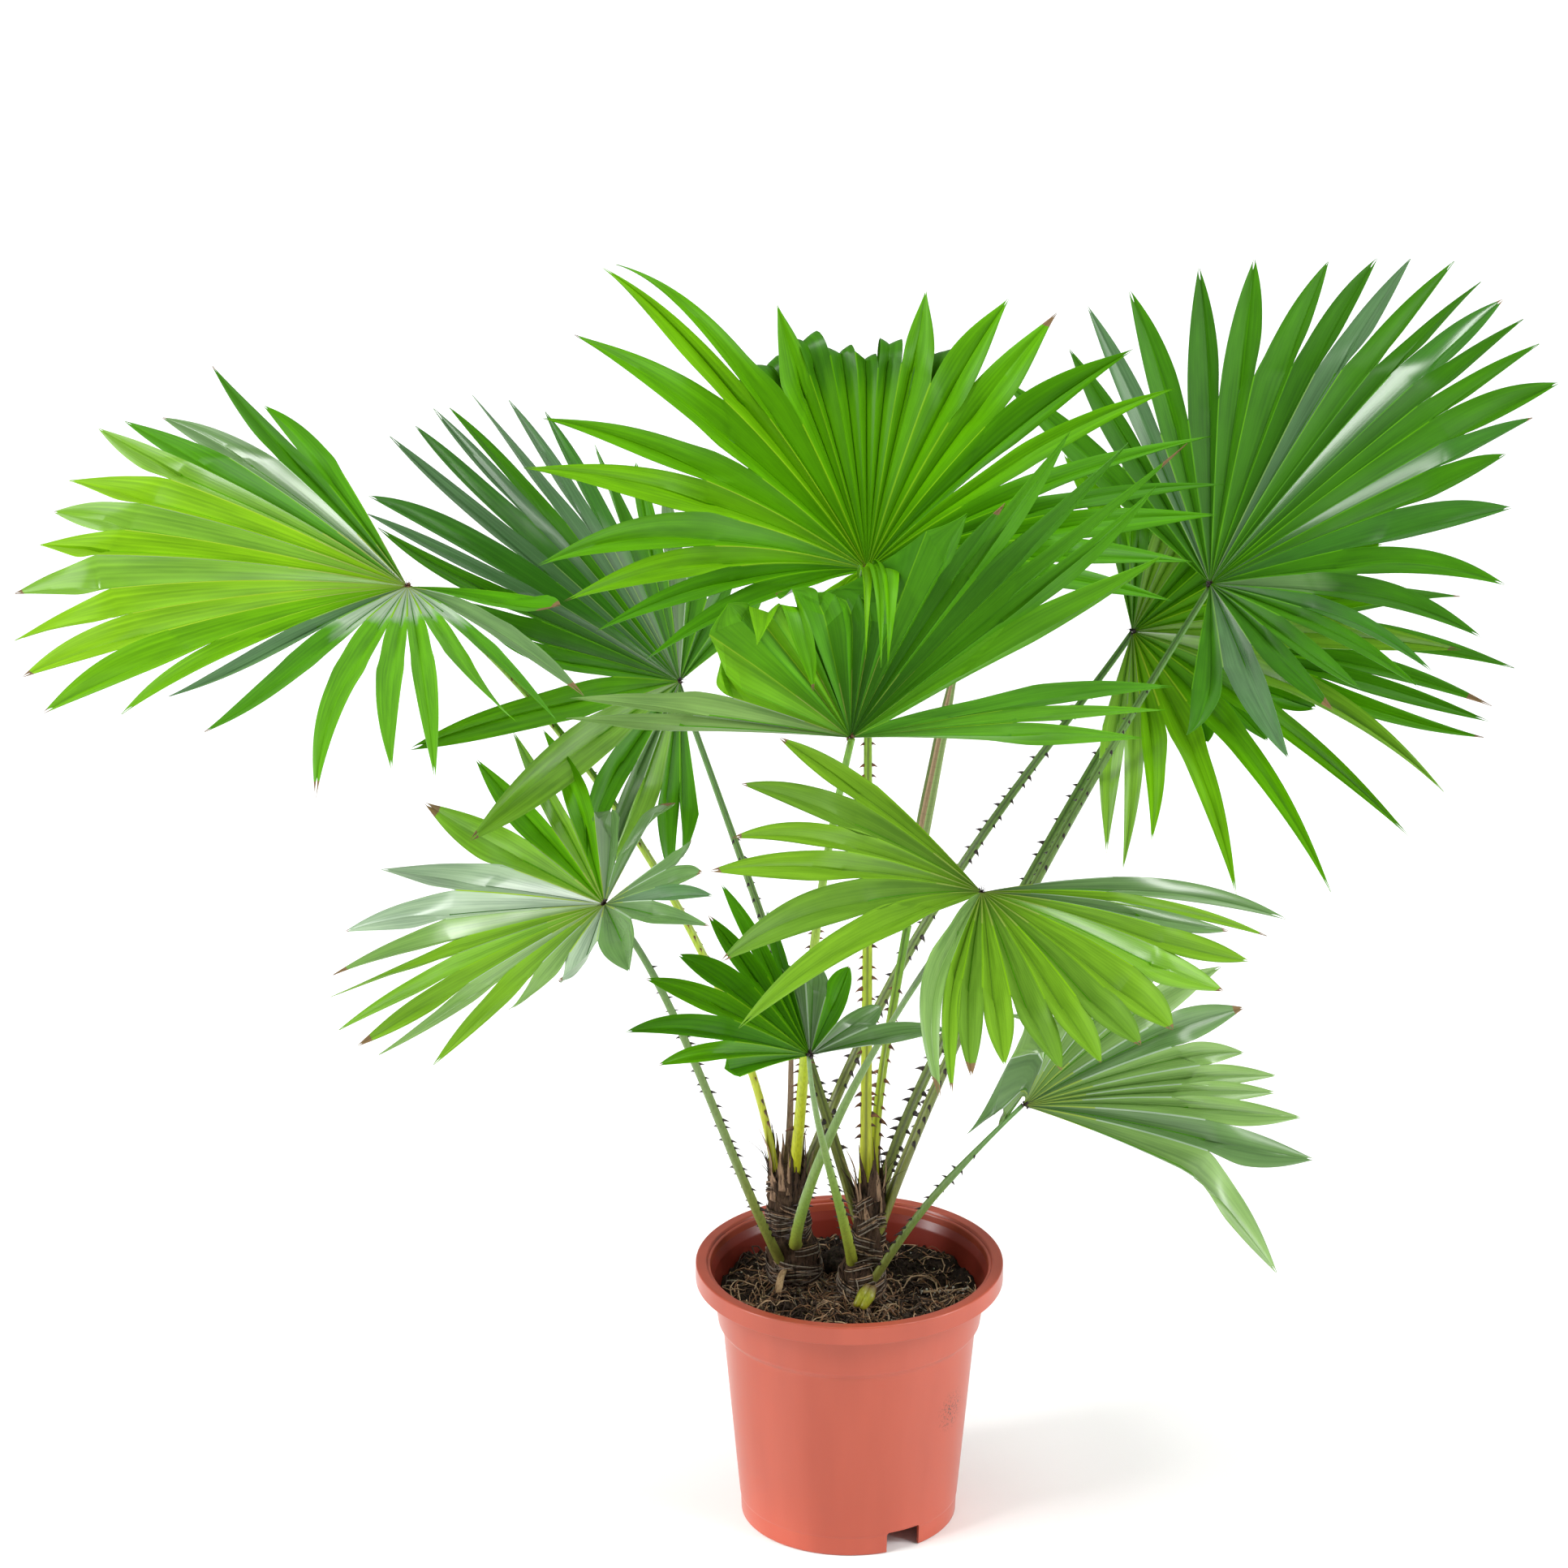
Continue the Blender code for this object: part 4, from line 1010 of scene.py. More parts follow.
# How each finger departs from its blade's even fan, from the first to the last: turned by so many
# degrees, its share of the usual length, and its sideways sway and downward curl in degrees.
EVEN = (0, 1.00, 0, 0)
FINGER_HABITS = {
    "far_left": (
        (4, .91, 5, 9), (0, 1.05, -6, -10), (3, 1.03, 6, 11), (0, 1.07, -1, -3), (-2, 1.01, -5, -10),
        (0, .95, 1, 4), (0, .97, -1, -3), (1, .96, 1, 2), (3, .95, 1, 3), (4, .99, 3, 8),
        (5, 1.07, 3, 9), (4, 1.07, 1, 5), (4, .90, 4, 6), (2, .87, -3, -13), (3, .99, -6, -12),
        (10, 1.05, 11, 12), (10, .98, 6, 1), (9, 1.09, -1, 5), (11, .99, 10, -8), (8, .97, 0, -2),
        (8, .94, -2, 0), (13, .62, 6, -16),
    ),
    "left_back": (
        *[EVEN] * 6, (1, 1.03, 1, 1), (1, .98, 1, 4), (0, 1.00, 0, 1), (0, 1.01, 1, 5),
        (-2, .96, -1, -5), (-3, .92, -2, -8), (-3, 1.01, -2, -7), (-2, 1.03, 2, 6), (-4, .99, 0, -2),
        (-7, .99, -5, -13), (-8, .86, -3, -14), (-8, .82, -11, -32), (-3, 1.13, 0, 8),
        (1, 1.17, 0, 10), (5, 1.03, 13, -11), (0, .97, 0, -1), (-4, .88, -8, 3), (-3, .88, 3, -12),
        (-6, .75, -6, 1),
    ),
    "top": (
        (2, 1.00, 0, 0), (3, .95, 3, -5), (3, .96, 2, -3), (1, 1.01, -1, 2), (1, 1.06, 2, -2),
        (1, 1.00, -2, 2), (2, .93, 1, 0), (5, .90, 3, -1), (4, .89, -3, 2), (9, .77, 8, 0),
        (4, 1.00, 0, 0), (1, 1.00, 0, 0), (-2, 1.00, 0, 0), (-5, 1.00, 0, 0), (-7, .71, -8, -5),
        (-4, 1.18, 2, 34), (-9, 1.14, -12, 23), (-5, .99, 0, -1), (-1, 1.01, 1, 1), (1, 1.09, -2, -1),
        (5, 1.04, 7, 8), (3, 1.00, 1, 1), (2, 1.03, 1, 2), (0, 1.09, -3, 2), (8, .30, 0, 20),
        (8, .34, 0, 25), (0, 1.06, 17, 78), (-4, 1.09, 15, 93), (-12, 1.07, 9, 91),
    ),
    "centre_front": (
        (1, 1.00, 0, -1), (-2, .93, -1, 3), (1, .88, 0, 0), (12, .71, 3, 0), (9, 1.07, -12, -3),
        (6, .83, 13, 10), (0, .92, 0, 0), (1, .83, -1, -2), (1, .78, -1, -4), (0, .84, 0, 0),
        (0, .71, 0, 5), (-1, .75, 1, 5), (-8, .95, -3, -6), (-8, 1.03, -3, -6), (-9, 1.20, -3, -6),
        (-16, 1.03, -6, -14), (-11, .93, -4, -10), (5, 1.00, 2, 4), (0, 1.06, 0, 2), (-1, 1.01, 0, 0),
    ),
    "right_high": (
        (-1, .82, -4, -24), (0, 1.03, 4, 4), (0, 1.01, 2, 1), (-2, .98, 3, -3), (-5, 1.07, -4, 9),
        (-8, 1.10, -6, 15), (-9, 1.13, -5, 18), (-9, 1.01, -9, 18), (-6, .97, -1, 0), (-4, .94, 0, -3),
        (-4, .96, -1, 2), (-4, .98, -2, 7), (-4, 1.00, -1, 5), (-3, 1.03, -1, 3), (-4, .97, -1, 4),
        (-4, .96, -3, 9), (-4, 1.03, -1, 2), (-4, 1.02, -3, 6), (-4, .96, -3, 9), (-3, .96, -2, 7),
        (-1, 1.05, -1, -1), (1, 1.04, 2, -5), (2, 1.02, 4, -3), (1, 1.07, 0, -4), (0, 1.01, 0, 0),
        (0, 1.00, 0, 0),
    ),
    "right_low": (
        (-2, .96, 5, -1), (-9, .96, -8, -2), (-13, .77, -11, -6), (-12, .92, -8, 0),
        (-11, 1.03, -8, 4), (-8, 1.00, -1, 0), (-9, .93, -11, 8), (-2, .88, 4, -5), (-2, .81, -2, 0),
        (-3, .72, -3, 2), (-2, .68, -2, 2), (-1, .72, 0, 1), *[EVEN] * 4,
    ),
    "front_right": (
        (5, .96, 0, -1), (7, .96, 3, 5), (10, .99, 8, 13), (8, 1.15, -2, 3), (12, 1.19, 5, 14),
        (15, 1.23, -3, 12), (27, 1.11, 27, 21), (23, 1.11, 15, 12), (16, 1.01, 7, -3),
        (12, .93, 2, -5), (12, 1.01, 8, -7), (9, .99, 3, -4), (8, .93, 5, -9), (7, .94, 2, -5),
        (9, 1.01, 5, -9), (9, 1.01, 8, -14), (5, .87, 3, -8), (-1, 1.05, -2, 5), (-4, 1.17, -4, 9),
    ),
    "front_left": (
        (-15, .60, -13, 48), (0, .53, 5, 4), (5, 1.16, 8, -12), (-2, 1.16, -3, -8), (-4, 1.07, -3, -5),
        (-4, 1.07, -4, -7), (0, 1.00, 0, 0), (4, .95, 4, 13), (4, .93, 2, 9), (2, .98, 0, 2),
        (1, .98, 1, 5), (-1, .95, -1, -4), (-3, 1.01, -2, -7), (-3, 1.10, -2, 0), (-3, .88, -1, -18),
        (-2, .84, -1, -26), (-1, 1.02, -2, 1), (4, 1.17, 7, 12), (-1, 1.01, -2, 4), (-5, .79, -6, -1),
        (-1, .70, 1, -29),
    ),
    "small": (
        (-2, 1.06, -5, 4), (6, .69, 1, 5), (16, .73, 9, 9), (22, .65, 9, 15), (26, .69, 24, 37),
        (14, .95, -4, -5), (10, 1.10, 3, 4), (7, .93, 0, 1), (10, .92, 5, 8), (12, .99, 4, 7),
        (13, 1.04, 7, 10), (11, .96, 6, 4), (7, .63, 1, -11),
    ),
    "lower_right": (
        (3, 1.06, -2, 1), (8, 1.01, 8, -10), (5, 1.01, 3, -3), (0, 1.01, 1, -1), (-8, 1.03, -3, 1),
        (-14, .91, -10, 4), (-13, 1.04, -4, -3), (-13, 1.12, -6, -9), (-10, 1.06, -4, -11),
        (-4, 1.00, 0, 0), (-1, 1.01, 0, 0), (-1, 1.00, 0, 0), (0, 1.00, 0, 0),
    ),
    "right_back": (
        (-7, .42, -10, -1), (1, .47, 0, -9), (9, .51, 8, -17), (12, .91, 13, -18), (7, .86, 3, -4),
        (2, .89, -2, 4), (0, .97, -2, 3), (0, .81, -1, 4), (1, .63, 1, 4), (0, .73, -1, 7),
        (0, .77, -1, 6), (0, .74, -1, 7), (0, .74, -1, 7), (1, .77, 0, 6), (2, .77, 0, 5),
        (4, .76, 3, 8),
    ),
}
# Each blade's tints from its first finger to its last (fewer tints than fingers are spread over
# them), the share of a finger's length at which it parts from its neighbours, the slope of its
# pleats in degrees, the share of its tips that are dry, and how blunt its fingers are.
# Sheen, blue, grey and pale fingers in these lists partly carry painted sheen.
BLADE_LOOKS = {
    "far_left": ("green dark grey green gloss lime gloss lime gloss lime lime bright bright "
                 "blue sheen_to_green sheen_to_fresh sheen_to_fresh sheen_to_fresh sheen_to_fresh "
                 "sheen_to_green grey green", 0.54, 32, 0.50, 0.42),
    "left_back": ("green dark green grey green dark wet blue blue dark blue wet blue wet blue "
                  "dark dark green fresh gloss green grey gloss green green", 0.50, 34, 0.20, 0.80),
    # The top blade's middle fingers turn dark further out: painted shadow of the fingertips folded
    # behind them.
    "top": ("green green green dark green fresh green fresh fresh fresh fresh_to_dark "
            "fresh_to_dark fresh_to_dark fresh_to_dark fresh fresh bright "
            "fresh fresh bright fresh bright green green bright green bright fresh fresh",
            0.50, 32, 0.15, 0.20),
    "centre_front": ("pale pale bright fresh bright fresh green green dark dark green dark green "
                     "dark green green fresh green fresh fresh", 0.54, 34, 0.15, 0.25),
    "right_high": ("dark blue deep dark dark wet grey_to_deep dark wet dark wet dark dark deep wet "
                   "deep dark blue deep dark dark deep dark blue deep dark", 0.45, 34, 0.10, 0.52),
    "right_low": ("gloss bright fresh gloss fresh green gloss green", 0.42, 32, 0.15, 0.34),
    "front_right": ("soft moss soft soft moss soft pale soft moss soft moss soft moss soft gloss "
                    "soft grey soft grey", 0.50, 32, 0.70, 0.60),
    "front_left": ("grey grey fresh gloss fresh gloss sheen sheen pale soft gloss soft pale soft "
                   "pale sheen grey grey blue grey grey", 0.50, 32, 0.40, 0.42),
    "small": ("grey grey green grey grey dark green green green fresh green fresh green",
              0.50, 32, 0.50, 0.55),
    "lower_right": ("pale grey pale pale pale pale grey pale pale pale pale grey pale",
                    0.62, 32, 0.60, 0.45),
    "right_back": ("green dark green fresh", 0.42, 32, 0.15, 0.45),
}


def lit(colour, share=1.0):
    """A tint's lightest shade, or a share of it, which darkens it as painted shade."""
    r, g, b = colour
    return ((r * 1.40 + 0.004) * share, (g * 1.22 + 0.004) * share, b * 1.3 * share)


def leaf_skin(name, colour, gloss, outer=None, change=0.1, wax=0.20):
    """Leaf skin: waxy, with fine veins along the finger, soft clouds, and painted shade that darkens
    it towards the hub.

    Where it has an outer colour, the finger turns to it at this distance from the hub."""
    made, tree, shader, node = bare_material(name, gloss, wax)
    at = node("ShaderNodeUVMap", {"uv_map": "finger"}).outputs["UV"]
    veins_at = node("ShaderNodeMapping", Vector=at, Scale=(620.0, 7.0, 1.0)).outputs["Vector"]
    veins = node("ShaderNodeTexNoise", Vector=veins_at, Scale=1.0, Detail=1.0).outputs["Fac"]
    cloud_at = node("ShaderNodeMapping", Vector=at, Scale=(110.0, 14.0, 1.0)).outputs["Vector"]
    clouds = node("ShaderNodeTexNoise", Vector=cloud_at, Scale=1.0, Detail=3.0).outputs["Fac"]
    both = node("ShaderNodeMix", {"data_type": "FLOAT"}, Factor=0.55)
    tree.links.new(veins, both.inputs[2])
    tree.links.new(clouds, both.inputs[3])
    tone = ramp(node, both.outputs[0], ((0.36, (0.51, 0.57, 0.54)), (0.64, (0.91, 0.93, 0.91))))
    from_hub = node("ShaderNodeSeparateXYZ", Vector=at).outputs["Y"]
    # The colour darkens towards the hub: painted shade.
    stops = [(0.0, lit(colour, 0.55)), (0.030, lit(colour, 0.85)), (0.080, lit(colour))]
    if outer:
        ragged = node("ShaderNodeMapRange", Value=clouds, To_Min=-0.035, To_Max=0.035)
        moved = node("ShaderNodeMath", {"operation": "ADD"})
        tree.links.new(from_hub, moved.inputs[0])
        tree.links.new(ragged.outputs["Result"], moved.inputs[1])
        from_hub = moved.outputs["Value"]
        # A turning finger is darkened near the hub as painted shade too.
        stops = [(0.0, lit(colour, 0.7)), (0.030, lit(colour)), (change - 0.012, lit(colour)),
                 (change + 0.012, lit(outer))]
    colour = multiplied(tree, node, ramp(node, from_hub, stops), tone)
    tree.links.new(colour, shader.inputs["Base Color"])
    bump = node("ShaderNodeBump", Height=veins, Strength=0.30, Distance=0.00015)
    tree.links.new(bump.outputs["Normal"], shader.inputs["Normal"])
    return made


def dull(colour, grey):
    """A tint's underside: greyer and a little lighter."""
    mean = sum(colour) / 3
    return tuple(c + (mean - c) * grey + 0.001 for c in colour)


# The finishes of the upper side, and after them their undersides in the same order.
SKINS = []
SKIN_OF = {}
for tint, tint_colour in LEAF_TINTS.items():
    SKIN_OF[tint] = len(SKINS)
    waxy = tint in WAXY_TINTS
    SKINS.append(leaf_skin("leaf_" + tint, tint_colour, 0.25 if waxy else 0.34,
                           wax=0.5 if waxy else 0.10))
for tint, (inner, outer, change) in TURNING_TINTS.items():
    SKIN_OF[tint] = len(SKINS)
    SKINS.append(leaf_skin("leaf_" + tint, LEAF_TINTS[inner], 0.34, LEAF_TINTS[outer], change))
for part, part_colour in (("ridge_line", (0.26, 0.40, 0.06)), ("dry_tip", (0.165, 0.110, 0.045)),
                          ("hub_brown", (0.060, 0.045, 0.018))):
    SKIN_OF[part] = len(SKINS)
    SKINS.append(leaf_skin(part, part_colour, 0.55))
TOP_SKINS = len(SKINS)
for skin, part in enumerate(SKIN_OF):
    plain = TURNING_TINTS.get(part, (0, part))[1]
    if plain in LEAF_TINTS:
        SKINS.append(leaf_skin("underleaf_" + part, dull(LEAF_TINTS[plain], 0.02), 0.45, wax=0.1))
    else:
        SKINS.append(SKINS[skin])


def reach(blade, angle):
    """The length of the finger at this angle."""
    return blade["length"] * (1 - blade["side"] * (1 - math.cos(math.radians(angle))) / 2)


class FingerLine:
    """The middle line of one finger, or of the ridge between two, in fine steps."""

    def __init__(self, blade, angle, long, split, bend=None, curl=0.0, sway=0.0):
        along, across, face = blade_axes(blade)
        phi, cup = math.radians(angle), math.radians(blade["cup"])
        way = (along * math.cos(phi) + across * math.sin(phi)) * math.cos(cup)
        way += face * math.sin(cup)
        side = across * math.cos(phi) - along * math.sin(phi)
        self.step = long / LINE_STEPS
        self.points, ways = [Vector(blade["hub"])], []
        for k in range(LINE_STEPS):
            middle = (k + 0.5) * self.step
            go = way - Vector((0, 0, blade["sag"] * middle / blade["length"]))
            loose = max(0.0, (middle / long - split) / (1 - split))
            turn = curl * loose * loose
            if bend:
                turn += math.radians(bend[1]) * eased((middle - bend[0]) / (0.16 * long) + 0.5)
            go = Quaternion(face, sway * loose) @ (Quaternion(side, turn) @ go)
            ways.append(go.normalized())
            self.points.append(self.points[-1] + go * self.step)
        ways = [ways[0]] + [(a + b).normalized() for a, b in zip(ways, ways[1:])] + [ways[-1]]
        self.sides = [(side - w * side.dot(w)).normalized() for w in ways]
        self.uppers = [w.cross(s) for w, s in zip(ways, self.sides)]

    def at(self, distance):
        """The point, and the side and upper directions, at this distance from the hub."""
        k = min(int(distance / self.step), LINE_STEPS - 1)
        t = distance / self.step - k
        return (self.points[k].lerp(self.points[k + 1], t),
                self.sides[k].lerp(self.sides[k + 1], t), self.uppers[k].lerp(self.uppers[k + 1], t))


def finger_width(t, blunt):
    """The half width at t along the free part, as a share of that where the fingers part."""
    return (1 - (1 - blunt) * t ** 1.3) * (1 - t ** 4) + 0.020


class Fan:
    """A whole blade from its hub to its finger tips, as one thin sheet."""

    def __init__(self, blade, look, habits, seed):
        self.rng = random.Random(100 + seed)
        self.blade, self.habits, self.count = blade, habits, blade["fingers"]
        tints, self.split, self.slope, self.dry, self.blunt = look
        self.tints = tints.split()
        self.step = (blade["last"] - blade["first"]) / (self.count - 1)
        self.angles, self.usual, self.lengths, self.bends = [], [], [], []
        for i, (turned, share, _, _) in enumerate(habits):
            angle = blade["first"] + i * self.step
            where, turn, folded_share = blade.get("folds", {}).get(i, (0.0, 0.0, 1.0))
            self.usual.append(folded_share * reach(blade, angle)
                              * (1 + RIPPLE_LENGTH * math.sin(1.7 * i + 2 * seed)))
            self.lengths.append(share * self.usual[-1])
            self.angles.append(angle + RIPPLE_DEGREES * math.sin(2.4 * i + seed) + turned)
            self.bends.append((where * self.lengths[-1], turn) if turn else None)
        self.borders = [self.angles[0] - self.step / 2]
        self.borders += [(a + b) / 2 for a, b in zip(self.angles, self.angles[1:])]
        self.borders.append(self.angles[-1] + self.step / 2)
        self.points, self.places, self.faces, self.kinds = [], [], [], []
        self.hub = self.point(Vector(blade["hub"]), 0.0, 0.0)
        self.ridges = [self.ridge(j) for j in range(self.count + 1)]
        for i in range(self.count):
            self.finger(i)

    def point(self, where, across, along):
        """Adds a point with its place on the finger's map, and returns its number."""
        self.points.append(where)
        self.places.append((across, along))
        return len(self.points) - 1

    def face(self, corners, kind):
        """Adds a face, without the corners that repeat."""
        kept = list(dict.fromkeys(corners))
        if len(kept) > 2:
            self.faces.append(tuple(kept))
            self.kinds.append(kind)

    def pleat_slope(self, u):
        """The tangent of the pleats' slope at the share u of their joined length."""
        return math.tan(math.radians(self.slope * (1.30 - 0.30 * u)))

    def half_angle(self, i, j):
        """The angle from finger i's rib to ridge j beside it."""
        apart = abs(self.borders[j] - self.angles[i])
        return math.radians(min(WIDEST * self.step, max(NARROWEST * self.step, apart)))

    def ridge(self, j):
        """The raised line between two fingers.

        Returns how far it is joined, its rows as shares of that, how far it would be joined if
        it were not torn, and its points."""
        near = [i for i in (j - 1, j) if 0 <= i < self.count]
        folded = [self.bends[i] for i in near if self.bends[i]]
        bend = None
        if len(folded) == len(near):
            bend = tuple(sum(b[k] for b in folded) / len(folded) for k in (0, 1))
        shortest = min(self.lengths[i] for i in near)
        whole = min(self.split * sum(self.usual[i] for i in near) / len(near), 0.85 * shortest)
        joined = whole * self.rng.uniform(*TEAR_SPREAD)
        if len(near) == 2:
            joined *= min(1.0, 1.3 * self.step / (self.angles[j] - self.angles[j - 1])) ** 2
        if j in self.blade.get("parts", {}):
            joined = min(self.blade["parts"][j] * self.blade["length"], 0.9 * shortest)
            whole = max(whole, joined)
        line = FingerLine(self.blade, self.borders[j], whole / self.split, self.split, bend)
        shares = [HUB_ROW / joined + (1 - HUB_ROW / joined) * (k / (JOINED_ROWS - 1)) ** 1.25
                  for k in range(JOINED_ROWS)]
        narrow = sum(self.half_angle(i, j) for i in near) / len(near)
        ids = []
        for u in shares:
            point, _, upper = line.at(min(u * joined, whole / self.split))
            rise = u * joined * narrow * self.pleat_slope(u) / 2
            ids.append(self.point(point + upper * rise, MAP_HALF_WIDTH, u * joined))
        return joined, shares, whole, ids

    def finishes(self, i):
        """The finger's own finish, that of its ridges, and the darker one of its rib, painted shade in
        the valley.
        """
        count = len(self.tints)
        at_tint = (i + (0.5 if count == self.count else self.rng.random())) * count / self.count
        tint = self.tints[int(min(count - 1, at_tint))]
        plain = TURNING_TINTS.get(tint, (0, tint))[1]
        return (SKIN_OF[tint], SKIN_OF[PALER.get(plain, "yellow")],
                SKIN_OF[VALLEY_SHADE.get(plain, "shade")])

    def finger(self, i):
        """One finger: the pleat from its rib to the ridge on each side, and its free part."""
        rng, long, (_, _, sway, curl) = self.rng, self.lengths[i], self.habits[i]
        joined = (self.ridges[i][0] + self.ridges[i + 1][0]) / 2
        kind, pale, dark = self.finishes(i)
        dry_rows = rng.choice((2, 3, 4, 6)) if rng.random() < self.dry else 0
        fork = rng.uniform(0.90, 0.96)
        twist = rng.gauss(0, 0.28)
        broad, opened = rng.uniform(0.92, 1.06), rng.uniform(0.25, 0.75)
        line = FingerLine(self.blade, self.angles[i], long, self.split, self.bends[i],
                          math.radians(curl), math.radians(sway))

        def half_width(j, distance):
            """The flattened half width of the finger on ridge j's side, this far from the hub."""
            start, _, whole, _ = self.ridges[j]
            wide = self.half_angle(i, j) * min(distance, whole)
            wide = wide * math.sqrt(1 + self.pleat_slope(1) ** 2)
            t = max(0.0, (distance - whole) / (long - whole))
            if start < 0.8 * whole:
                wide *= 1 - TORN_NARROWING * eased((distance - start) / (0.5 * whole))
            return wide * (1 + (broad - 1) * eased(t / 0.2)) * finger_width(min(1.0, t), self.blunt)

        def on_finger(hand, j, x, t, start):
            """The point at the share x of the half width and t of the free length."""
            distance = joined + (start - joined) * x
            distance += (long - distance) * t
            point, side, upper = line.at(distance)
            lean = math.atan(self.pleat_slope(1)) * (1 - opened * eased(t / 0.4))
            turn = Quaternion(upper.cross(side), twist * t)
            side, upper = turn @ side, turn @ upper
            w = half_width(j, distance)
            rise = (x - 0.5) * math.sin(lean) + (0.03 + 0.07 * t) * math.sin(math.pi * x)
            return point + side * (hand * x * w * math.cos(lean)) + upper * (w * rise)

        rib_rows = [(a + b) / 2 for a, b in zip(self.ridges[i][1], self.ridges[i + 1][1])]
        rib = []
        for u in rib_rows:
            point, _, upper = line.at(u * joined)
            low = u * joined * math.radians(self.step) / 2 * self.pleat_slope(u) / 2
            rib.append(self.point(point - upper * low, 0.0, u * joined))
        free = [fork * k / FREE_ROWS for k in range(1, FREE_ROWS + 1)]
        free += [fork + (1 - fork) * k / FORK_ROWS for k in range(1, FORK_ROWS + 1)]
        free_rib = [self.point(on_finger(1, i + 1, 0.0, t, joined), 0.0,
                               joined + (long - joined) * t) for t in free[:FREE_ROWS]]
        for hand, j in ((-1, i), (1, i + 1)):
            start, _, _, edge_ids = self.ridges[j]
            rows = []
            for k, u in enumerate(rib_rows):
                low, edge = self.points[rib[k]], self.points[edge_ids[k]]
                across = (edge - low).length
                upper = line.at(u * joined)[2]
                row = [rib[k]]
                for c in (min(0.12, RIB_WIDTH / across), 0.30, 0.65,
                          1 - min(0.15, RIDGE_WIDTH / across)):
                    where = low.lerp(edge, c) + upper * (0.03 * across * math.sin(math.pi * c))
                    row.append(self.point(where, hand * c * MAP_HALF_WIDTH, u * joined))
                rows.append(row + [edge_ids[k]])
            gap = self.points[edge_ids[-1]] - on_finger(hand, j, 1.0, 0.0, start)
            for k, t in enumerate(free):
                along = start + (long - start) * t
                w = max(0.0004, half_width(j, along))
                # Past the fork the two halves of the finger draw apart to a point each.
                shift = 0.92 * max(0.0, (t - fork) / (1 - fork))
                forked = t > fork + 1e-6
                row = [] if forked else [free_rib[k]]
                shares = (min(0.3, RIB_WIDTH / w), 0.30, 0.65, 1 - min(0.3, RIDGE_WIDTH / w), 1)
                for c in (0.0, *shares) if forked else shares:
                    x = shift + (1 - shift) * c
                    where = on_finger(hand, j, x, t, start) + gap * (x * (1 - t) ** 3)
                    row.append(self.point(where, hand * x * MAP_HALF_WIDTH, along))
                if k == len(free) - 1:
                    row = [row[3]] * 6
                rows.append(row)
            self.half_finger(hand, rows, dry_rows, kind, pale, dark)

    def half_finger(self, hand, rows, dry_rows, kind, pale, dark):
        """The faces of one side of a finger, with its brown hub, its lines and its dry tip."""
        bright = "lime" in self.tints or "pale" in self.tints
        for a, b in zip(rows[0], rows[0][1:]):
            self.face((self.hub, a, b) if hand > 0 else (self.hub, b, a), SKIN_OF["hub_brown"])
        for r, (low, high) in enumerate(zip(rows, rows[1:])):
            for c in range(5):
                # Where the rib lies in the joined part's valley it takes the darker tint: painted
                # shade in the crease.
                finish = dark if c == 0 and r < JOINED_ROWS else kind
                if c == 4 and r < JOINED_ROWS - 1:
                    finish = SKIN_OF["ridge_line"] if r < HUB_LINE_ROWS and bright else pale
                if r >= len(rows) - 1 - dry_rows:
                    finish = SKIN_OF["dry_tip"]
                corners = (low[c], high[c], high[c + 1], low[c + 1])
                self.face(corners if hand > 0 else corners[::-1], finish)

    def mesh(self, name):
        """The blade's mesh, with the map that its veins follow."""
        mesh = bpy.data.meshes.new(name)
        mesh.from_pydata(self.points, [], self.faces)
        for skin in SKINS:
            mesh.materials.append(skin)
        mesh.polygons.foreach_set("material_index", self.kinds)
        finger_map = mesh.uv_layers.new(name="finger")
        offset = self.rng.random() * 10
        for loop in mesh.loops:
            across, along = self.places[loop.vertex_index]
            finger_map.data[loop.index].uv = (across + offset, along)
        mesh.shade_smooth()
        return mesh


def thin_sheet(piece):
    """Gives the sheet its thickness, with its underside in the finishes of an underside."""
    thick = piece.modifiers.new("thickness", "SOLIDIFY")
    thick.thickness = LEAF_THICKNESS
    thick.offset = 0.0
    thick.material_offset = TOP_SKINS
    settled(piece)
    piece.data.set_sharp_from_angle(angle=math.radians(28))


LEAF_SLOTS = {
    "far_left": "leaf_lime", "top": "leaf_lime", "centre_front": "leaf_lime",
    "left_back": "leaf_deep", "right_high": "leaf_deep", "small": "leaf_deep",
    "right_back": "leaf_deep", "right_low": "leaf_green", "front_right": "leaf_green",
    "front_left": "leaf_pale", "lower_right": "leaf_pale",
}
for seed, (leaf, blade) in enumerate(BLADES.items()):
    fan = Fan(blade, BLADE_LOOKS[leaf], FINGER_HABITS[leaf], seed).mesh("blade_" + leaf)
    thin_sheet(make_piece("blade_" + leaf, fan, LEAF_SLOTS[leaf], "frond_" + leaf))

# Folded fingers of the top blade
# Four more fingers of the top leaf stand a little behind the rest, two to the left and two to the
# right of its middle. They have buckled half way, so only their rounded folds show between the
# others. They are part of the same blade.
FOLDED_PAIRS = {"left": (-1.5, 5.5), "right": (-55.0, -48.0)}  # degrees from the middle finger
FOLDED_CUP = 31.6
# Past the fold these fingers turn to a darker tint: painted shadow.
FOLDED_LOOK = ("fresh_to_dark", 0.50, 32, 0.0, 0.55)

for seed, (side, (first, last)) in enumerate(FOLDED_PAIRS.items()):
    behind = Vector(BLADES["top"]["hub"]) - 0.0008 * blade_axes(BLADES["top"])[2]
    pair = dict(BLADES["top"], hub=behind, cup=FOLDED_CUP, first=first, last=last, fingers=2,
                folds={0: (0.60, 150, 1.0), 1: (0.61, 150, 1.0)}, parts={})
    fan = Fan(pair, FOLDED_LOOK, [EVEN] * 2, 30 + seed).mesh("blade_top_fold_" + side)
    thin_sheet(make_piece("blade_top_fold_" + side, fan, LEAF_SLOTS["top"]))

